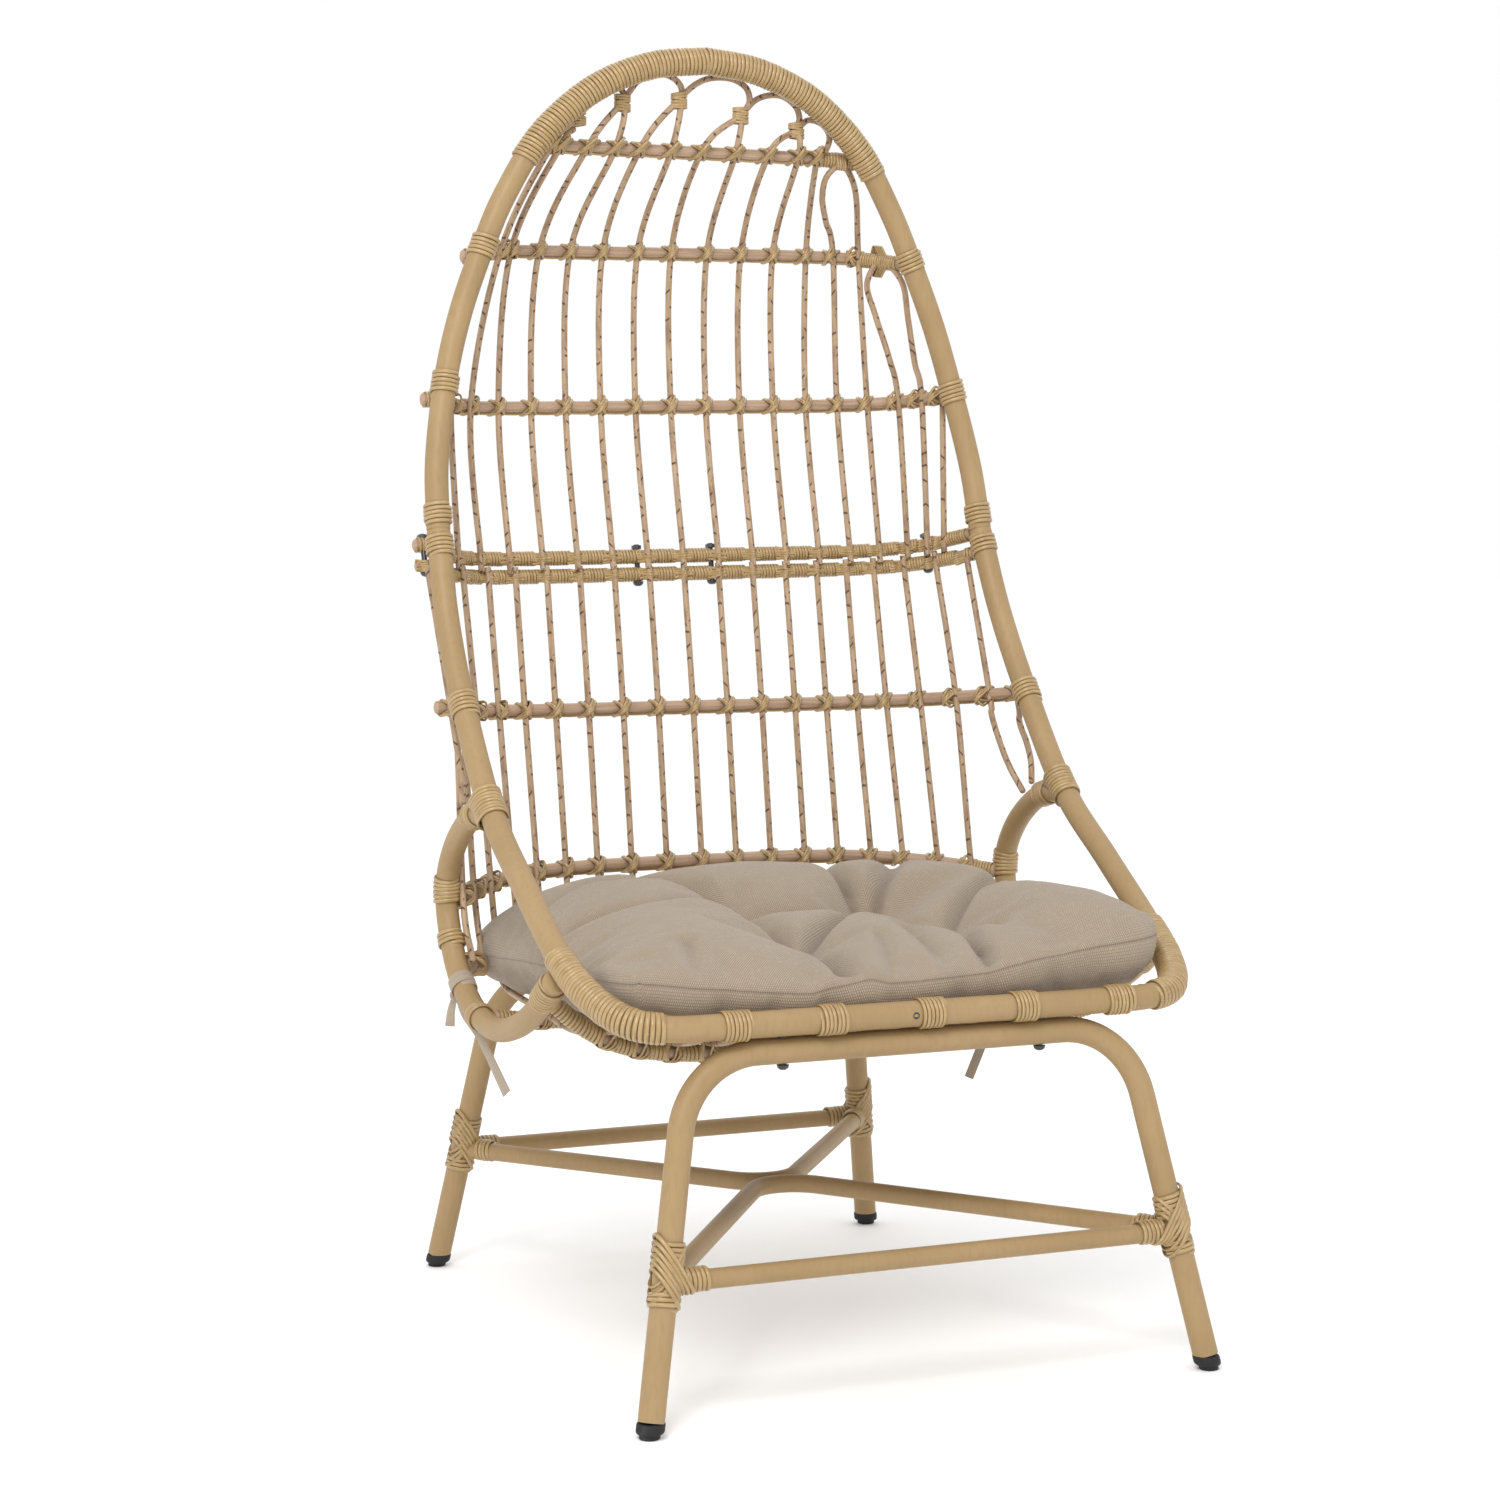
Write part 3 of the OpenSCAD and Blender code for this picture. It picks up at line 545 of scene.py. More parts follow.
class Finish:
    """One material and short calls that build its nodes."""

    def __init__(self, name, **surface):
        self.material = bpy.data.materials.new(name)
        self.material.use_nodes = True
        self.nodes = self.material.node_tree.nodes
        self.links = self.material.node_tree.links
        self.shader = self.nodes["Principled BSDF"]
        for socket, value in surface.items():
            self.shader.inputs[socket.replace("_", " ")].default_value = value

    def put(self, socket, value):
        if hasattr(value, "is_linked"):
            self.links.new(value, socket)
        else:
            socket.default_value = value

    def node(self, kind, settings=None, **inputs):
        made = self.nodes.new("ShaderNode" + kind)
        for key, value in (settings or {}).items():
            setattr(made, key, value)
        for key, value in inputs.items():
            self.put(made.inputs[key], value)
        return made

    def math(self, operation, a, b=0.0, c=0.0):
        made = self.node("Math", {"operation": operation})
        for socket, value in zip(made.inputs, (a, b, c)):
            self.put(socket, value)
        return made.outputs[0]

    def ramp(self, value, low, high):
        """0 at low, 1 at high and smooth between them."""
        made = self.node("MapRange", {"interpolation_type": "SMOOTHSTEP"})
        for key, part in zip(("Value", "From Min", "From Max"), (value, low, high)):
            self.put(made.inputs[key], part)
        return made.outputs["Result"]

    def fade(self, value, low, high):
        return self.math("SUBTRACT", 1.0, self.ramp(value, low, high))

    def spread(self, value, low, high):
        """A 0-1 value carried to the range low to high."""
        return self.math("MULTIPLY_ADD", value, high - low, low)

    def mix(self, share, a, b):
        made = self.node("Mix", {"data_type": "RGBA"})
        for i, value in ((0, share), (6, a), (7, b)):
            self.put(made.inputs[i], value)
        return made.outputs[2]

    def tint(self, value, low, high, under, over, share=None):
        """One colour that gives way to another, or to a share of it, as a value rises."""
        amount = self.ramp(value, low, high)
        if share:
            amount = self.math("MULTIPLY", amount, share)
        return self.mix(amount, under, over)

    def place(self, scale=(1, 1, 1), uv=False):
        """Object coordinates, or the sweep's own metres, times a scale."""
        if uv:
            source = self.node("UVMap", {"uv_map": "sweep"}).outputs[0]
        else:
            source = self.node("TexCoord").outputs["Object"]
        return self.node("Mapping", Vector=source, Scale=scale).outputs[0]

    def noise(self, scale, detail, stretch=(1, 1, 1)):
        """Noise over the object, this many to the metre."""
        return self.node("TexNoise", Vector=self.place(stretch), Scale=scale,
                         Detail=detail).outputs[0]

    def grain(self, around, along, detail):
        """Noise over a sweep, this many to the metre round it and along it."""
        return self.node("TexNoise", Vector=self.place((around, along, 1), uv=True), Scale=1,
                         Detail=detail).outputs[0]

    def split(self, vector):
        return self.node("SeparateXYZ", Vector=vector).outputs

    def finish(self, color, roughness, height=None, distance=0.001, strength=1.0):
        self.put(self.shader.inputs["Base Color"], color)
        self.put(self.shader.inputs["Roughness"], roughness)
        if height is not None:
            bump = self.node("Bump", Strength=strength, Distance=distance, Height=height)
            self.links.new(bump.outputs[0], self.shader.inputs["Normal"])
        return self.material


def painted_tube():
    """Smooth rattan-coloured coating with faint cloudy tone and long brush-like streaks."""
    f = Finish("painted_tube", Specular_IOR_Level=0.35)
    cloud = f.noise(9, 3)
    streak = f.noise(240, 2, stretch=(1, 1, 0.18))
    speck = f.noise(900, 2)
    tone = f.tint(cloud, 0.3, 0.7, srgb(155, 129, 89), srgb(164, 137, 97))
    tone = f.tint(streak, 0.42, 0.75, tone, srgb(144, 117, 79), 0.3)
    rough = f.spread(f.ramp(speck, 0.3, 0.7), 0.42, 0.52)
    height = f.math("ADD", f.math("MULTIPLY", streak, 0.6), f.math("MULTIPLY", speck, 0.4))
    return f.finish(tone, rough, height, 0.00012, 0.6)


def cane_bar():
    """A pinkish cane-look bar: lengthwise grain and darker patches."""
    f = Finish("cane_bar", Specular_IOR_Level=0.35)
    grain = f.grain(900, 14, 3)
    patch = f.grain(40, 16, 2)
    tone = f.tint(grain, 0.35, 0.7, srgb(180, 153, 128), srgb(158, 131, 106))
    tone = f.tint(patch, 0.5, 0.72, tone, srgb(138, 111, 87), 0.45)
    return f.finish(tone, f.spread(grain, 0.4, 0.55), grain, 0.0002, 0.6)


def speckled_cane():
    """Pinkish-tan rods with brown streaks and small dark hooked ticks at every growth mark."""
    f = Finish("speckled_cane", Specular_IOR_Level=0.4)
    girth, spacing = 2 * math.pi * ROD_R, 15 * MM
    x, y, _ = f.split(f.place(uv=True))
    turn = f.math("DIVIDE", x, girth)
    step = f.math("DIVIDE", y, spacing)
    cell = f.math("FLOOR", step)
    rise = f.math("FRACT", step)
    chance, other = (
        f.node("TexWhiteNoise", {"noise_dimensions": "1D"}, W=seed).outputs[0]
        for seed in (cell, f.math("ADD", cell, 0.37))
    )
    aside = f.math("FRACT", f.math("ADD", f.math("SUBTRACT", turn, chance), 0.5))
    aside = f.math("SUBTRACT", aside, 0.5)
    away = f.math("ABSOLUTE", aside)
    lean = f.math("MULTIPLY", aside, f.spread(other, -1.6, 1.6))
    path = f.math("ADD", f.math("MULTIPLY_ADD", away, 1.7, 0.25), lean)
    miss = f.math("ABSOLUTE", f.math("SUBTRACT", rise, path))
    tick = f.math("MULTIPLY", f.fade(miss, 0.05, 0.12), f.fade(away, 0.19, 0.28))
    streak = f.grain(420, 26, 3)
    patch = f.grain(120, 34, 2)
    tone = f.tint(streak, 0.35, 0.7, srgb(178, 152, 122), srgb(155, 128, 99))
    tone = f.tint(patch, 0.5, 0.7, tone, srgb(127, 97, 73), 0.65)
    tone = f.mix(f.math("MULTIPLY", tick, 0.92), tone, srgb(74, 48, 38))
    height = f.math("SUBTRACT", f.math("MULTIPLY", streak, 0.4), tick)
    return f.finish(tone, f.spread(streak, 0.38, 0.55), height, 0.0003, 0.7)


def cane_strip():
    """Glossy golden strip with fine lengthwise fibres, flecks, and painted shade at its edges,
    where the turns meet.
    """
    f = Finish("cane_strip", Specular_IOR_Level=0.5, Coat_Weight=0.3, Coat_Roughness=0.25)
    fibre = f.grain(1100, 40, 3)
    patch = f.grain(60, 60, 3)
    fleck = f.grain(700, 260, 2)
    x, _, _ = f.split(f.place(uv=True))
    # painted shade: 1 at the strip's two edges, where neighbouring turns meet, and 0 on its crown
    side = f.math("ABSOLUTE", f.math("COSINE", f.math("MULTIPLY", x, 2 * math.pi / STRIP_GIRTH)))
    tone = f.tint(fibre, 0.35, 0.68, srgb(178, 150, 104), srgb(158, 130, 83))
    tone = f.tint(patch, 0.5, 0.75, tone, srgb(134, 105, 64), 0.5)
    tone = f.tint(fleck, 0.64, 0.72, tone, srgb(202, 179, 138), 0.5)
    # painted shade darkens the strip towards its edges
    tone = f.tint(side, 0.66, 0.98, tone, srgb(104, 78, 45), 0.65)
    return f.finish(tone, f.spread(fibre, 0.28, 0.46), fibre, 0.00022, 0.8)


def black_metal():
    f = Finish("black_metal", Specular_IOR_Level=0.6)
    grain = f.noise(1400, 2)
    wear = f.noise(160, 3)
    tone = f.tint(wear, 0.58, 0.72, srgb(46, 47, 50), srgb(92, 92, 94), 0.5)
    return f.finish(tone, f.spread(grain, 0.25, 0.45), grain, 0.00008, 0.5)


def steel():
    f = Finish("bare_steel", Metallic=1.0)
    grain = f.noise(700, 2, stretch=(1, 1, 0.1))
    tone = f.mix(grain, srgb(150, 150, 152), srgb(186, 186, 188))
    return f.finish(tone, f.spread(grain, 0.3, 0.5), grain, 0.00005, 0.5)


def rubber():
    f = Finish("foot_rubber", Specular_IOR_Level=0.35)
    grain = f.noise(1100, 3)
    dust = f.noise(70, 3)
    tone = f.tint(dust, 0.5, 0.8, srgb(34, 34, 36), srgb(78, 76, 74), 0.4)
    return f.finish(tone, f.spread(grain, 0.55, 0.8), grain, 0.00015, 0.8)


def weave(f, where, thread, light, dark):
    """A plain basket weave over a flat vector: its colour, with painted shade in the low gaps
    between threads, and its height.
    """
    x, y, _ = f.split(where)
    x, y = (f.math("DIVIDE", part, thread) for part in (x, y))
    column, row = (f.math("FLOOR", part) for part in (x, y))
    across, down = (f.math("SUBTRACT", f.math("FRACT", part), 0.5) for part in (x, y))
    over = f.math("PINGPONG", f.math("ADD", column, row), 1.0)
    round_x = f.math("COSINE", f.math("MULTIPLY", across, 2.7))
    round_y = f.math("COSINE", f.math("MULTIPLY", down, 2.7))
    height = f.math("MULTIPLY", round_x, round_y)
    height = f.math("MULTIPLY_ADD", over, 0.22, height)
    # painted shade: the colour darkens where the weave is low, between the threads
    gap_shade = f.math("MULTIPLY", f.fade(height, 0.1, 0.95), 0.55)
    return f.mix(gap_shade, f.mix(over, dark, light), srgb(108, 94, 78)), height


def cushion_cloth():
    """Taupe basket weave, darker at the seam, with painted shade that darkens the folds and leaves
    the crowns paler.
    """
    f = Finish("cushion_cloth", Specular_IOR_Level=0.2, Sheen_Weight=0.25, Sheen_Roughness=0.5)
    where = f.node("UVMap", {"uv_map": "cloth"}).outputs[0]
    wander = f.noise(22, 2)
    slub = f.noise(260, 3)
    fold_shade, seam = (f.node("Attribute", {"attribute_name": name}).outputs["Fac"]
                  for name in ("fold_shade", "seam"))
    tone, height = weave(f, where, 1.3 * MM, srgb(184, 168, 148), srgb(150, 134, 114))
    tone = f.tint(slub, 0.5, 0.75, tone, srgb(196, 183, 165), 0.18)
    tone = f.tint(wander, 0.45, 0.8, tone, srgb(147, 131, 111), 0.14)
    # painted shade: the cloth darkens where the creases and tufts press into the top
    tone = f.tint(fold_shade, 0.1, 0.9, tone, srgb(112, 96, 79), 0.62)
    tone = f.tint(seam, 0.9, 0.995, tone, srgb(96, 84, 72), 0.6)
    return f.finish(tone, f.spread(slub, 0.8, 0.95), height, 0.0005, 0.8)


def tape_cloth():
    f = Finish("tape_cloth", Specular_IOR_Level=0.2, Sheen_Weight=0.2)
    # the weave brings painted shade in the low gaps between its threads
    tone, height = weave(f, f.place(uv=True), 0.9 * MM, srgb(186, 172, 154), srgb(162, 147, 129))
    slub = f.noise(500, 2)
    return f.finish(tone, f.spread(slub, 0.8, 0.95), height, 0.0003, 0.6)


def floor_white():
    f = Finish("floor_white", Specular_IOR_Level=0.0, Emission_Color=(1, 1, 1, 1),
               Emission_Strength=0.1)
    cloud = f.noise(1.2, 2)
    tone = f.mix(cloud, (0.93, 0.93, 0.93, 1), (0.95, 0.95, 0.95, 1))
    return f.finish(tone, 0.9)


FINISH = {
    "painted_tube": painted_tube(),
    "bare_tube": steel(),
    "wrapped_bar": cane_bar(),
    "speckled_cane": speckled_cane(),
    "binding_strip": cane_strip(),
    "hardware": black_metal(),
    "foot_rubber": rubber(),
    "cushion_fabric": cushion_cloth(),
    "tie_tape": tape_cloth(),
}


# ---------- pieces ----------
def add_object(name, data):
    made = bpy.data.objects.new(name, data)
    bpy.context.scene.collection.objects.link(made)
    return made


def add_mesh(name, points, faces, slot, layer, uv):
    """A smooth mesh object in a slot's finish, with one UV map."""
    mesh = bpy.data.meshes.new(name)
    mesh.from_pydata(points.tolist(), [], faces)
    mesh.uv_layers.new(name=layer).data.foreach_set("uv", uv.ravel())
    mesh.shade_smooth()
    mesh.materials.append(FINISH[slot])
    return add_object(name, mesh)


def piece(name, skin, slot, nodes=(), body="chair"):
    """One object from a skin, in a slot's finish, riding on a body and standing for CAD nodes."""
    made = add_mesh(name, np.vstack(skin.verts), skin.faces, slot, "sweep", np.vstack(skin.uvs))
    made.data.set_sharp_from_angle(angle=math.radians(50))
    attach(made, body)
    if nodes:
        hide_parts(*nodes)
    return made


def tube_piece(node, path, radius, kind="tube", slot="painted_tube", sides=36, taper=()):
    """One round tube along a path, standing for one CAD node."""
    skin = Skin()
    skin.tube(path, radius, sides=sides, taper=taper)
    piece(f"{node}_{kind}", skin, slot, [node])


def make_rim():
    for node, path in (("upper_rim", UPPER_RIM), ("lower_rim", LOWER_RIM)):
        inner = Path(path.at(np.linspace(GAP / 2, path.length - GAP / 2, 900))[0])
        tube_piece(node, inner, TUBE_R, taper=TUBE_END)
    for side, word in SIDES:
        tube_piece(f"side_bracket_{word}", bracket_path(side), BRACKET_R, taper=TUBE_END)


def bar_radius(i):
    return {3: WRAPPED_R, 4: WRAPPED_R, 7: REAR_BAR_R}.get(i, BAR_R)


def make_bars():
    for i, node in enumerate(BAR_NODES):
        tube_piece(node, bar_path(i), bar_radius(i), "cane", "wrapped_bar", 24, ROD_END)


def make_rods():
    rng = np.random.default_rng(11)
    for node, paths in (("upper_rods", upper_rod_paths()), ("lower_rods", lower_rod_paths()),
                        ("seat_rods", seat_rod_paths())):
        skin = Skin()
        for path in paths:
            skin.tube(path, ROD_R, sides=14, start=rng.uniform(0, 50), taper=ROD_END)
        piece(node + "_cane", skin, "speckled_cane", [node])


def make_windings():
    """The long bindings of the rim: over the crown, round both front corners, and its rings."""
    rng = np.random.default_rng(5)
    skin = Skin()
    begin, end = (UPPER_RIM.near([209, 221, 1228], side) for side in (1, -1))
    wind(skin, UPPER_RIM, begin, end, TUBE_R, rng)
    piece("crown_strip", skin, "binding_strip", ["top_rim_binding"])
    for side, word in SIDES:
        skin = Skin()
        begin, end = sorted(LOWER_RIM.near(q, side) for q in ([324, -196, 423], [262, -311, 367]))
        wind(skin, LOWER_RIM, begin, end, TUBE_R, rng, pitch=4.5 * MM, half_w=2.5 * MM)
        piece(f"corner_strip_{word}", skin, "binding_strip", [f"corner_binding_{word}"])
    skin = Skin()
    for x in RAIL_BINDING_X:
        ring(skin, LOWER_RIM, LOWER_RIM.near([x, RAIL_Y, RAIL_Z], 1), 14, TUBE_R, rng,
             pitch=4.2 * MM, half_w=2.1 * MM, first=rng.uniform(0, 6))
    piece("rail_strips", skin, "binding_strip", ["rail_bindings"])


def make_rim_ties():
    """Rings round the rim where the bars and brackets meet it, and round the brackets."""
    rng = np.random.default_rng(6)
    skin = Skin()
    for side, _ in SIDES:
        for point, length in RIM_BINDING_AT:
            rim = UPPER_RIM if point[2] > UPPER_HALF[0][2] + 2 else LOWER_RIM
            ring(skin, rim, rim.near(point, side), length / 2, TUBE_R, rng,
                 first=rng.uniform(0, 6))
        bracket = bracket_path(side)
        top = LOWER_RIM.near([328, -6, 551], side)
        for j in range(BRACKET_RINGS):
            p, t, _, _ = LOWER_RIM.spot(top + (j - (BRACKET_RINGS - 1) / 2) * 4.4 * MM)
            b = bracket.spot(bracket.near(p))[0]
            lash(skin, p, np.cross(t, RIGHT), RIGHT, [(p, t, TUBE_R), (b, t, BRACKET_R)], rng,
                 half_w=STRIP_HALF_W, half_t=STRIP_HALF_T)
        turns = [(bracket.near([BRACKET_X, *BRACKET_SEAT], side), 14),
                 (bracket.length - 26 * MM, 18)]
        turns += [(bracket.near([BRACKET_X, *spot], side), half) for spot, half in BRACKET_TURNS]
        for at, half in turns:
            ring(skin, bracket, at, half, BRACKET_R, rng)
    piece("rim_strips", skin, "binding_strip", ["rim_bindings"])


def crossing(skin, point, bar_axis, bar_r, rod_axis, toward, rng):
    """Two bands of strip crossing over a rod where it meets a bar: three strands and two."""
    out = square_to(bar_axis, toward)
    rod = point + out * (bar_r + ROD_R + GAP)
    bars = [(point, bar_axis, bar_r), (rod, rod_axis, ROD_R)]
    for sense, strands in ((-1, 2), (1, 3)):
        for i in range(strands):
            lean = rng.uniform(0.55, 0.7) + 0.22 * i
            aside = (i - (strands - 1) / 2) * 2.5 * MM
            lash(skin, point + aside * bar_axis, rod_axis + sense * lean * bar_axis, out, bars,
                 rng, lift=(0.2 + 0.9 * (sense > 0)) * CORD_HALF_T)


def crossings_of(i):
    """Where rods cross a bar, mm, with each rod's direction there."""
    found = []
    first, last = RODS_ON[i]
    for k in range(first, last + 1):
        here = rod_at(i, k)
        axis = unit(here - rod_at(NEIGHBOUR[i], k))
        found.append((here, axis if axis[2] > 0 else -axis))
    return found


def across(path, x):
    """The distance along a cross bar, its point and its direction at a width in mm."""
    s = np.interp(x * MM, path.p[:, 0], path.s)
    p, t, _, _ = path.spot(s)
    return s, p, t


def runner(skin, path, begin, end, radius, rng):
    """A strand that lies along the underside of a bar from one tie to the next."""
    count = 14
    p, t, _, _ = path.at(np.linspace(begin, end, count))
    angle = rng.uniform(0.8, 1.0) + 0.25 * np.sin(np.linspace(0, math.pi, count))
    front = np.array([square_to(d, FRONT) for d in t])
    down = np.cross(front, t)
    down = down * np.sign(-down[:, 2:])
    outward = swing(angle, front, down)
    skin.strip(p + (radius + 0.8 * CORD_HALF_T) * outward, outward, CORD_HALF_W, CORD_HALF_T,
               start=rng.uniform(0, 2))


def make_crossings():
    """The ties of every rod to every bar, and the strip that runs on between them."""
    rng = np.random.default_rng(8)
    for i in (0, 1, 2, 5, 6, 7):
        skin = Skin()
        path, radius = bar_path(i), bar_radius(i)
        spots = []
        for here, axis in crossings_of(i):
            s, p, t = across(path, here[0])
            crossing(skin, p, t, radius, axis, FRONT, rng)
            spots.append(s)
        for a, b in zip(spots, spots[1:]):
            if b - a > 14 * MM:
                runner(skin, path, a + 2 * MM, b - 2 * MM, radius, rng)
        for a, b in ((3 * MM, spots[0] - 5 * MM), (spots[-1] + 5 * MM, path.length - 3 * MM)):
            if b - a > 9 * MM:
                wind(skin, path, a, b, radius, rng, pitch=3.6 * MM, half_w=CORD_HALF_W,
                     half_t=CORD_HALF_T)
        for loop_bar, _, _, arch in SIDE_LOOPS:
            if loop_bar == i:
                top = max(arch, key=lambda q: q[1])
                _, p, t = across(path, top[0])
                rod = on_back(*top) * MM
                for j in range(4):
                    lash(skin, p + (j - 1.5) * 2.9 * MM * t, UP, FRONT,
                         [(p, t, radius), (rod, t, ROD_R)], rng, lift=0.4 * MM)
        piece(BAR_NODES[i] + "_ties", skin, "binding_strip")
    make_seat_ties(rng)


def make_seat_ties(rng):
    """The seat rods' ties to the two bars under them, which are wound from end to end."""
    turn = dict(pitch=4.2 * MM, half_w=2.0 * MM, half_t=CORD_HALF_T)
    for i in (8, 9):
        skin = Skin()
        path = bar_path(i)
        edge = 3 * MM
        for rod in seat_rod_paths():
            s, p, t = across(path, rod.p[len(rod.p) // 2, 0] / MM)
            axis = rod.spot(rod.near(p))[1]
            crossing(skin, p, t, BAR_R, axis, UP, rng)
            if s - 8 * MM > edge:
                wind(skin, path, edge, s - 5 * MM, BAR_R, rng, **turn)
            edge = s + 5 * MM
        wind(skin, path, edge, path.length - 3 * MM, BAR_R, rng, **turn)
        piece(BAR_NODES[i] + "_ties", skin, "binding_strip")


def make_joint_wraps():
    """The two bolted bars of the back: wound between the rods and crossed by strands at each."""
    rng = np.random.default_rng(9)
    turn = dict(pitch=3.7 * MM, half_w=CORD_HALF_W, half_t=CORD_HALF_T)
    reach = 5.5 * MM
    across_rod = np.linspace(-11, 11, 13) * MM
    bulge = (BAR_R + 2 * ROD_R) * np.exp(-(across_rod / (6.5 * MM)) ** 2)
    for i in (3, 4):
        skin = Skin()
        path = bar_path(i)
        edge = 3 * MM
        for here, axis in crossings_of(i):
            s, p, t = across(path, here[0])
            if s - reach - edge > 4 * MM:
                wind(skin, path, edge, s - reach, WRAPPED_R, rng, **turn)
            edge = s + reach
            out = square_to(t, FRONT)
            for j in range(5):
                height = (j - 2) * 2.5 * MM
                tilt = rng.uniform(-0.12, 0.2) * (1 if j % 2 else -1)
                base = math.sqrt(max((WRAPPED_R + CORD_HALF_T) ** 2 - height ** 2, 0))
                depth = np.maximum(base, bulge + CORD_HALF_T * 0.8 - abs(height) * 0.35)
                rise = height + tilt * across_rod
                centre = (p + across_rod[:, None] * t + rise[:, None] * axis
                          + depth[:, None] * out)
                skin.strip(centre, np.tile(out, (len(centre), 1)), CORD_HALF_W, CORD_HALF_T,
                           start=rng.uniform(0, 2))
        wind(skin, path, edge, path.length - 3 * MM, WRAPPED_R, rng, **turn)
        piece(BAR_NODES[i] + "_wraps", skin, "binding_strip")


def make_knots():
    """The bound crossings of the paired rods' tops."""
    rng = np.random.default_rng(10)
    skin = Skin()
    for x, z in KNOTS:
        point = lifted((x, z)) * MM
        for j in range(6):
            e = unit(RIGHT + rng.uniform(-0.22, 0.22) * UP)
            loop(skin, point + (j - 2.5) * 3.0 * MM * UP, e, FRONT, [(0, 0, 7.6 * MM, 4.6 * MM)],
                 rng)
    piece("petal_ties", skin, "binding_strip", ["petal_knots"])


def on_leg(ends, z):
    """A point at a height on the axis of the leg at the right, mm."""
    (x, y), (top_x, top_y) = ends
    share = z / FRAME_TOP_Z
    return [x + (top_x - x) * share, y + (top_y - y) * share, z]


def legs():
    """For each leg, the end of its node's name, the way it faces, its side and its path."""
    for far, away, ends, _ in LEG_PAIRS:
        for side, word in SIDES:
            line = np.array([on_leg(ends, 0), on_leg(ends, FRAME_TOP_Z)]) * [side, 1, 1]
            yield f"{far}_{word}", away, side, Path(line * MM)


def make_leg_ties():
    """Each leg's junction: rings above and below it, turns on the bars, and crossed lashing."""
    rng = np.random.default_rng(12)
    for name, away, side, leg in legs():
        skin = Skin()
        level = leg.near(leg.p[0] + (leg.p[-1] - leg.p[0]) * STRETCHER_Z / FRAME_TOP_Z)
        for begin, end in ((11, 37), (-25, -10)):
            wind(skin, leg, level + begin * MM, level + end * MM, TUBE_R, rng)
        node, axis, _, _ = leg.spot(level)
        inward = -side * RIGHT
        middle = np.array([0, BRACE_MID_Y * MM, STRETCHER_Z * MM])
        brace = unit((middle - node) * [1, 1, 0])
        for run, begin, turns in ((inward, 16, 6), (brace, 20, 5)):
            bar = Path([node, node + run * 90 * MM])
            wind(skin, bar, begin * MM, (begin + turns * 4.5) * MM, BRACE_R, rng)
        for sense, steps in ((1, range(-2, 1)), (-1, range(-1, 5))):
            e = unit(inward * 0.6 + sense * 0.8 * axis)
            n = np.cross(e, away)
            for j in steps:
                slide = j * 4.1 * MM * np.sign(n @ inward)
                bars = [(node, axis, TUBE_R)]
                if slide / (n @ inward) > 6 * MM:
                    bars.append((node, inward, BRACE_R))
                lash(skin, node + slide * n, e, away, bars, rng, half_w=STRIP_HALF_W,
                     half_t=1.3 * MM, lift=(0.3 + 1.1 * (sense < 0)) * STRIP_HALF_T)
        piece(f"leg_lashing_{name}", skin, "binding_strip", [f"leg_binding_{name}"])


def filleted(points, radius):
    """The points, in m, joined by straights with an arc of the radius at each inner corner."""
    points = np.asarray(points, float)
    run = [points[0]]
    for before, corner, after in zip(points, points[1:], points[2:]):
        a, b = unit(before - corner), unit(after - corner)
        half = math.acos(np.clip(a @ b, -1, 1)) / 2
        centre = corner + unit(a + b) * radius / math.sin(half)
        start = corner + a * radius / math.tan(half) - centre
        end = corner + b * radius / math.tan(half) - centre
        sweep = math.pi - 2 * half
        for share in np.linspace(0, 1, 25):
            run.append(centre + (math.sin((1 - share) * sweep) * start
                                 + math.sin(share * sweep) * end) / math.sin(sweep))
    return Path(np.array(run + [points[-1]]), step=0.004)


def brace_tip(end, apex):
    """Where a V brace's straights would meet, so that its bend just reaches the apex depth."""
    reach = tip = abs(apex - end[1])
    for _ in range(20):
        half = math.atan2(abs(end[0]), tip)
        tip = reach + BRACE_BEND * (1 / math.sin(half) - 1)
    return end[1] + math.copysign(tip, apex - end[1])


def make_base():
    """The bent leg frames and the straight and V-shaped bars between the legs."""
    for far, _, ends, apex in LEG_PAIRS:
        half = np.array([on_leg(ends, CAP_H), on_leg(ends, FRAME_TOP_Z)])
        arch = filleted(np.vstack([half, mirrored(half[::-1])]) * MM, SHOULDER_R * MM)
        tube_piece(f"{far}_leg_frame", arch, TUBE_R)
        end = np.array(on_leg(ends, STRETCHER_Z))
        bar = Path(np.array([end, mirrored(end)]) * MM)
        tube_piece(f"{far}_stretcher", bar, BRACE_R, sides=32)
        tip = np.array([0, brace_tip(end, apex), STRETCHER_Z])
        bar = filleted(np.array([end, tip, mirrored(end)]) * MM, BRACE_BEND * MM)
        tube_piece(f"{far}_brace", bar, BRACE_R, sides=32)


def make_rail_screw():
    """The small dark screw in the front of the rail, in a thin raised ring."""
    skin = Skin()
    outline = [(3.4, 0.0), (3.4, 0.5), (3.0, 0.8), (2.6, 0.7), (2.4, 0.3), (0.4, 0.2)]
    middle = np.array([-8 * MM, RAIL_Y * MM - TUBE_R + 0.35 * MM, RAIL_Z * MM])
    skin.add(np.array([middle + h * MM * FRONT + r * MM * swing(circle(24), RIGHT, UP)
                       for r, h in outline]))
    piece("rail_screw", skin, "hardware")


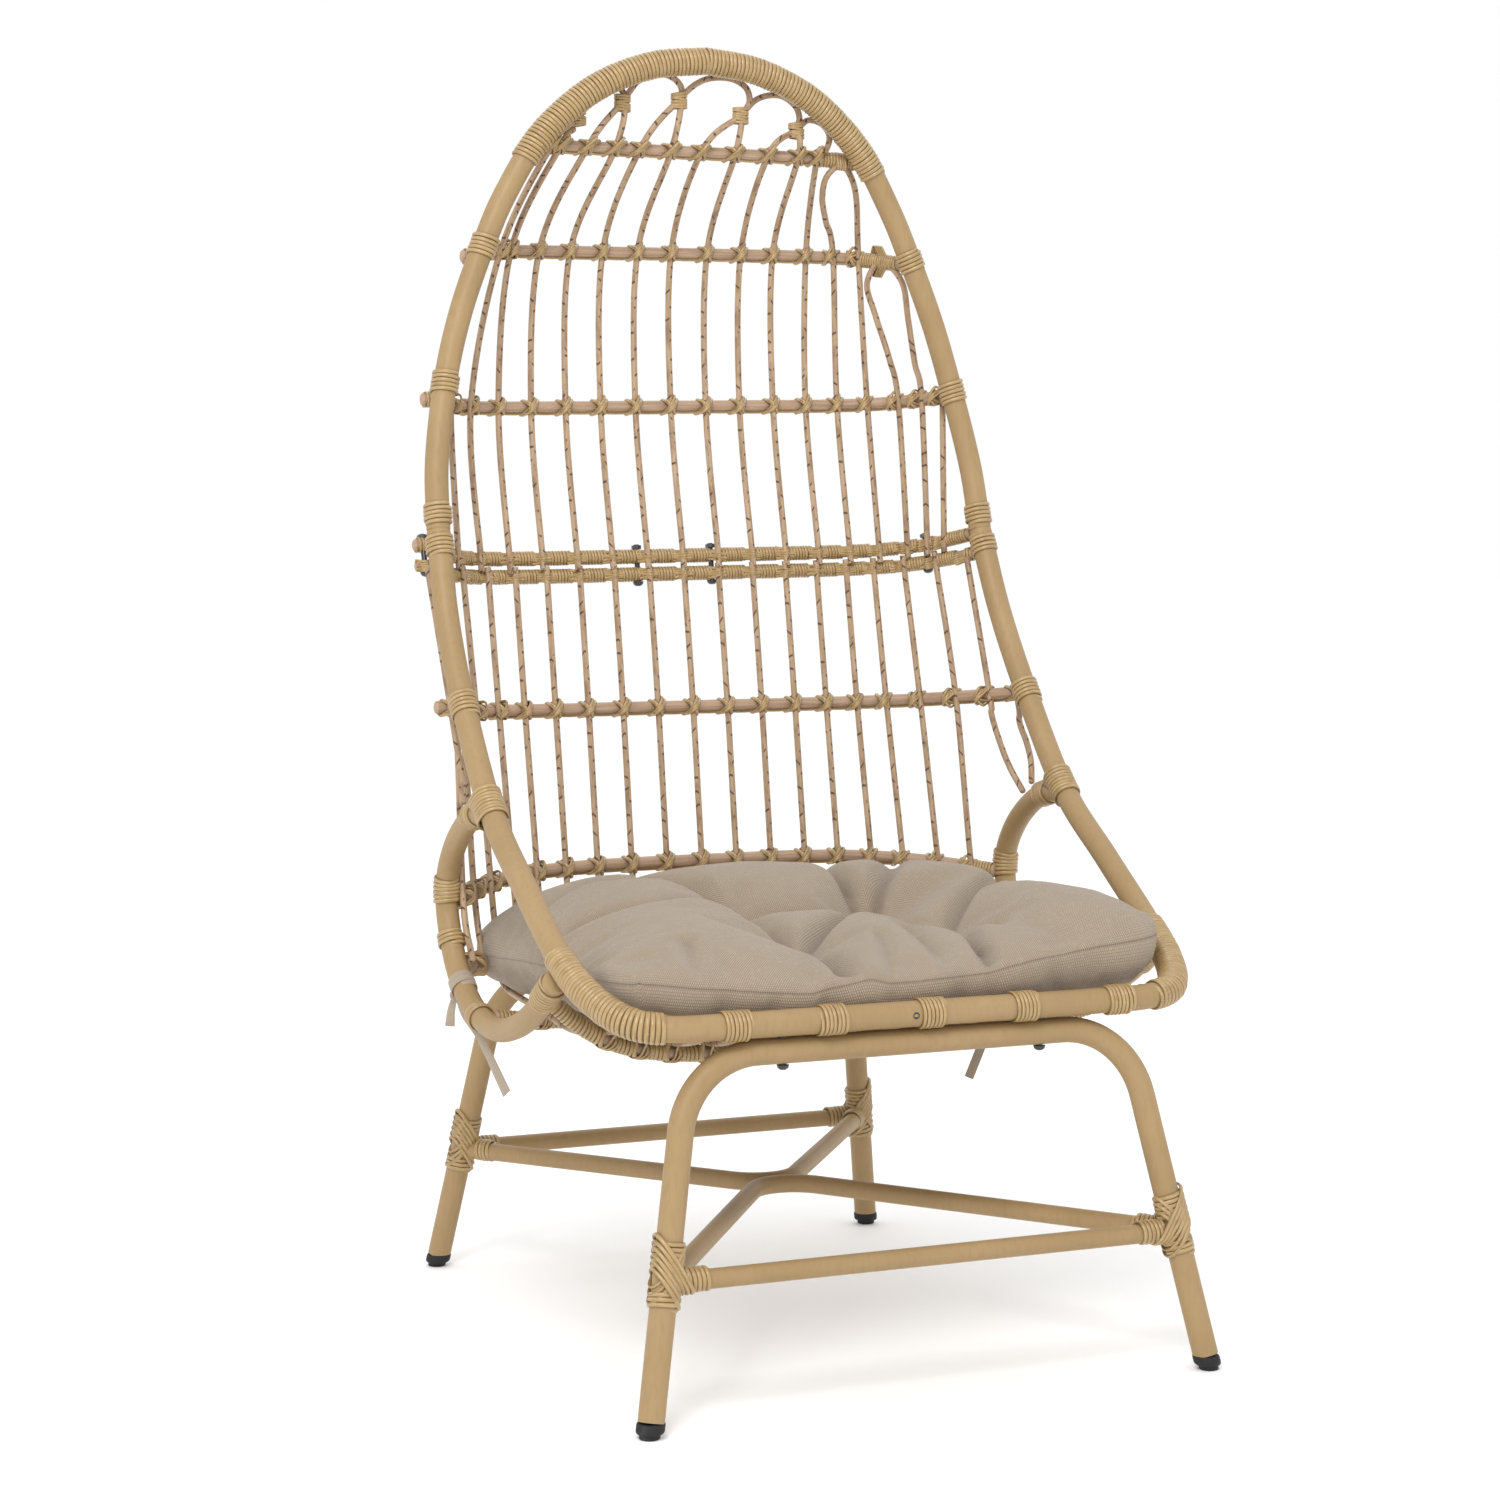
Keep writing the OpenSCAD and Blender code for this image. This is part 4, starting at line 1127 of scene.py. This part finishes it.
def make_feet():
    """Moulded caps: a cup round the tube's end, a waist and a tread with a rounded edge."""
    outline = [(6.0, 0.0), (9.0, 0.2), (9.9, 1.0), (10.0, 3.6), (10.3, 4.4), (12.2, 5.0),
               (13.2, 6.0), (13.6, 7.6), (13.6, 12.6), (13.2, 13.8), (12.4, 14.4), (10.0, 14.6)]
    for name, _, _, leg in legs():
        skin = Skin()
        rings = []
        for radius, z in outline:
            middle = leg.spot(z * MM * 1.02)[0] * [1, 1, 0] + z * MM * UP
            rings.append(middle + radius * MM * swing(circle(40), RIGHT, -FRONT))
        skin.add(np.array(rings)[:, ::-1])
        piece(f"foot_cap_{name}", skin, "foot_rubber", [f"foot_{name}"])


def ribbon(name, points):
    """A woven tape hanging along the points."""
    skin = Skin()
    run = smooth(points, 10) * MM
    twist = np.linspace(0.2, 1.1, len(run))
    outward = np.array([unit([math.cos(a), math.sin(a), 0.1]) for a in twist])
    skin.strip(run, outward, TAPE_HALF_W, TAPE_HALF_T)
    made = piece(name, skin, "tie_tape", body="cushion")


def make_tapes():
    """Each tie: two turns round the bracket, a knot and its hanging ends."""
    rng = np.random.default_rng(14)
    for side, word in SIDES:
        skin = Skin()
        bracket = bracket_path(side)
        at = bracket.near(TIE_KNOT, side)
        ring(skin, bracket, at, 7, BRACKET_R + 0.6 * MM, rng, pitch=6 * MM, half_w=4.5 * MM,
             half_t=0.8 * MM)
        p, t, _, _ = bracket.spot(at)
        below = unit(np.cross(t, RIGHT))
        below = below * (-1 if below[2] > 0 else 1)
        lump = p + below * (BRACKET_R + 3 * MM) + RIGHT * side * 2 * MM
        for j in range(3):
            e = unit(RIGHT + (j - 1) * 0.9 * t)
            loop(skin, lump, e, below, [(0, 0, 7 * MM, 4 * MM)], rng, half_w=3.6 * MM,
                 half_t=1.2 * MM)
        piece(f"tie_{word}_knot", skin, "tie_tape", [f"tie_{word}"], body="cushion")
        for j, tail in enumerate(TIE_TAILS[word]):
            ribbon(f"tie_{word}_end_{j}", tail)


# ---------- cushion ----------
def cushion_base(y):
    """The height of the cushion's middle plane, m, at a depth in m."""
    return SEAM_Z - (y - CUSHION_FRONT) * math.tan(math.radians(CUSHION_TILT))


def seat_floor(x, y):
    """The height that the cushion's underside rests at over the seat's rods, m."""
    depths, heights = np.array(SEAT_LINE[::-1]).T * MM
    return np.interp(y, depths, heights) + seat_flare(x / MM, y / MM) * MM + ROD_R + 2 * MM


def line_distance(x, y, line):
    """How far points are from a line through points in mm, m, and how far along it, 0 to 1."""
    best = np.full(x.shape, np.inf)
    along = np.zeros(x.shape)
    spots = np.array(line) * MM
    for i, (begin, end) in enumerate(zip(spots, spots[1:])):
        run = end - begin
        from_x, from_y = x - begin[0], y - begin[1]
        t = np.clip((from_x * run[0] + from_y * run[1]) / (run @ run), 0, 1)
        away = np.hypot(from_x - t * run[0], from_y - t * run[1])
        along = np.where(away < best, (i + t) / (len(line) - 1), along)
        best = np.minimum(best, away)
    return best, along


def spot_distance(x, y, spot):
    """How far points are from a spot in mm, m."""
    return np.hypot(x - spot[0] * MM, y - spot[1] * MM)


def crown_height(x, y):
    """How high the top swells above the seam's plane, m, blended from the pillows' heights."""
    spots = [spot for _, spot in PILLOWS]
    weights = [np.exp(-(spot_distance(x, y, q) / PILLOW_SPREAD) ** 2) + 1e-6 for q in spots]
    total = sum(weight * height * MM for weight, (height, _) in zip(weights, PILLOWS))
    return total / sum(weights)


def valleys(x, y, breadth=1.0):
    """How deep the creases and tufts press into the cushion's top, m."""
    depth = np.zeros_like(x)
    for deep, width, line in CREASES:
        away, along = line_distance(x, y, line)
        away = away / (breadth * width * MM)
        depth = np.maximum(depth, deep * MM * (1 - 0.65 * along ** 2) * np.exp(-away ** 2))
    for deep, spot in TUFTS:
        away = spot_distance(x, y, spot) / (breadth * TUFT_SPREAD)
        depth = np.maximum(depth, deep * MM * np.exp(-away ** 1.4))
    return depth


def cushion_shape():
    """The pillow's two panels on one grid: points, faces, UVs, seam, painted fold shade and pins.
    """
    a, b = np.meshgrid(np.linspace(-1, 1, COLUMNS), np.linspace(-1, 1, ROWS), indexing="ij")
    share = np.maximum(np.abs(a), np.abs(b))
    power = np.where(b < 0, 2 / FRONT_SQUARE, 2 / REAR_SQUARE)
    spread = (np.abs(a) ** power + np.abs(b) ** power) ** (1 / power)
    scale = np.where(share > 0, share / np.maximum(spread, 1e-9), 1)
    half_len = CUSHION_LEN / 2
    x = CUSHION_HALF_W * a * scale
    y = CUSHION_FRONT + half_len + half_len * b * scale
    turn = np.degrees(np.arctan2(b, a)) % 360
    ripple = np.interp(turn, *zip(*SEAM_RISE), period=360) * MM
    middle = cushion_base(y) + ripple * share ** 3
    press = valleys(x, y)
    edge = np.clip((1 - share) / 0.06, 0, 1)
    top = middle + crown_height(x, y) * (1 - share ** 3) ** 0.5 - press * edge
    drop = BELLY + BELLY_SAG * np.maximum(0, -b)
    under = middle - drop * (1 - share ** 3) ** 0.45
    under = np.minimum(np.maximum(under, seat_floor(x, y)), middle)
    inside = (slice(1, -1), slice(1, -1))
    upper = np.arange(a.size).reshape(a.shape)
    lower = upper.copy()
    lower[inside] = a.size + np.arange(a[inside].size).reshape(a[inside].shape)

    def both(*values):
        """Values of the grid's points in columns, then those of its inner points once more."""
        rows = np.stack(values, -1)
        return np.vstack([rows.reshape(-1, len(values)), rows[inside].reshape(-1, len(values))])

    points = both(x, y, top)
    points[a.size:, 2] = under[inside].ravel()
    faces = [np.stack([grid[:-1, :-1], grid[1:, :-1], grid[1:, 1:], grid[:-1, 1:]], -1)
             for grid in (upper, lower)]
    faces = np.vstack([faces[0].reshape(-1, 4), faces[1].reshape(-1, 4)[:, ::-1]])
    uv = both(a * PANEL[0] / 2, b * PANEL[1] / 2)
    seam = both(share)[:, 0] > 0.9999
    pins = seam.copy()
    for _, spot in TUFTS:
        pins |= spot_distance(*points.T[:2], spot) < TUFT_HOLD
    # how deep the painted shade of the folds is at each point of the top panel, none underneath
    fold_shade = valleys(*points.T[:2], 0.6) / FOLD_SHADE_FULL
    fold_shade[a.size:] = 0
    return points, faces, uv, seam, fold_shade, pins


def inflate(obj, pins, start):
    """Blow the pillow up with Cloth, held at its tufts, and return where its points go."""
    group = obj.vertex_groups.new(name="pinned")
    group.add(np.flatnonzero(pins).tolist(), 1.0, "REPLACE")
    cloth = obj.modifiers.new("cloth", "CLOTH")
    for key, value in CLOTH.items():
        setattr(cloth.settings, key, value)
    cloth.settings.effector_weights.gravity = 0
    cloth.point_cache.frame_start = 1
    cloth.point_cache.frame_end = SIM_FRAMES
    scene = bpy.context.scene
    for number in range(1, SIM_FRAMES + 1):
        scene.frame_set(number)
    solved = obj.evaluated_get(bpy.context.evaluated_depsgraph_get()).to_mesh()
    after = np.empty(len(start) * 3)
    solved.vertices.foreach_get("co", after)
    obj.modifiers.remove(cloth)
    obj.vertex_groups.remove(group)
    scene.frame_set(1)
    moved = after.reshape(-1, 3) - start
    size = np.linalg.norm(moved, axis=1)[:, None]
    return start + moved * np.minimum(1, SIM_CAP / np.maximum(size, 1e-9))


def make_cushion():
    """The tufted cushion: two panels sewn at the seam, blown up and then smoothed."""
    points, faces, uv, seam, fold_shade, pins = cushion_shape()
    made = add_mesh("cushion_pillow", points, faces.tolist(), "cushion_fabric", "cloth",
                    uv[faces.ravel()])
    mesh = made.data
    for mark, values in (("seam", seam), ("fold_shade", fold_shade)):
        mesh.attributes.new(mark, "FLOAT", "POINT").data.foreach_set("value", values.astype(float))
    points = inflate(made, pins, points)
    inward = unit([0, CUSHION_FRONT + CUSHION_LEN / 2] - points[seam, :2])
    points[seam, :2] += inward * SEAM_TUCK
    points[:, 2] = np.maximum(points[:, 2], seat_floor(points[:, 0], points[:, 1]))
    points[:, 0] = np.clip(points[:, 0], -CUSHION_REACH, CUSHION_REACH)
    mesh.vertices.foreach_set("co", points.ravel())
    mesh.update()
    finer = made.modifiers.new("finer", "SUBSURF")
    finer.levels = 1
    finer.render_levels = 1
    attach(made, "cushion")
    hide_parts("seat_cushion")


make_rim()
make_bars()
make_rods()
make_windings()
make_rim_ties()
make_crossings()
make_joint_wraps()
make_knots()
make_leg_ties()
make_base()
make_rail_screw()
make_feet()
make_tapes()
make_cushion()

for part in frame["record"]["subparts"]:
    materials = frame["nodes"][part["node"]].data.materials
    materials.clear()
    materials.append(FINISH[part["material_slot"]])


# ---------- camera, light and floor ----------
def aim_at(obj, place, aim):
    obj.location = place
    obj.rotation_euler = (Vector(aim) - Vector(place)).to_track_quat("-Z", "Y").to_euler()


camera_data = bpy.data.cameras.new("camera")
camera_data.lens = 76.44
camera_data.sensor_width = 36
camera_data.shift_x = -0.0066
camera_data.shift_y = -0.066
camera = add_object("camera", camera_data)
bpy.context.scene.camera = camera
aim_at(camera, (-1.3625, -3.0418, 0.8452), (0, 0.066, 0.7))


def area_light(name, place, aim, size, power):
    data = bpy.data.lights.new(name, "AREA")
    data.shape = "DISK"
    data.size = size
    data.energy = power
    aim_at(add_object(name, data), place, aim)


area_light("key", (-1.7, -2.4, 3.3), (0, 0, 0.8), 1.6, 75)
area_light("back", (1.4, 3.0, 3.4), (0, 0, 0.8), 2.4, 16)

world = bpy.data.worlds.new("studio")
bpy.context.scene.world = world
world.use_nodes = True
background = world.node_tree.nodes["Background"]
background.inputs["Color"].default_value = (1, 1, 1, 1)
background.inputs["Strength"].default_value = 1.0
bpy.context.scene.view_settings.view_transform = "Standard"

floor_mesh = bpy.data.meshes.new("floor")
corners = [(-30, -30, 0), (30, -30, 0), (30, 30, 0), (-30, 30, 0)]
floor_mesh.from_pydata(corners, [], [(0, 1, 2, 3)])
floor_mesh.materials.append(floor_white())
floor = add_object("floor", floor_mesh)
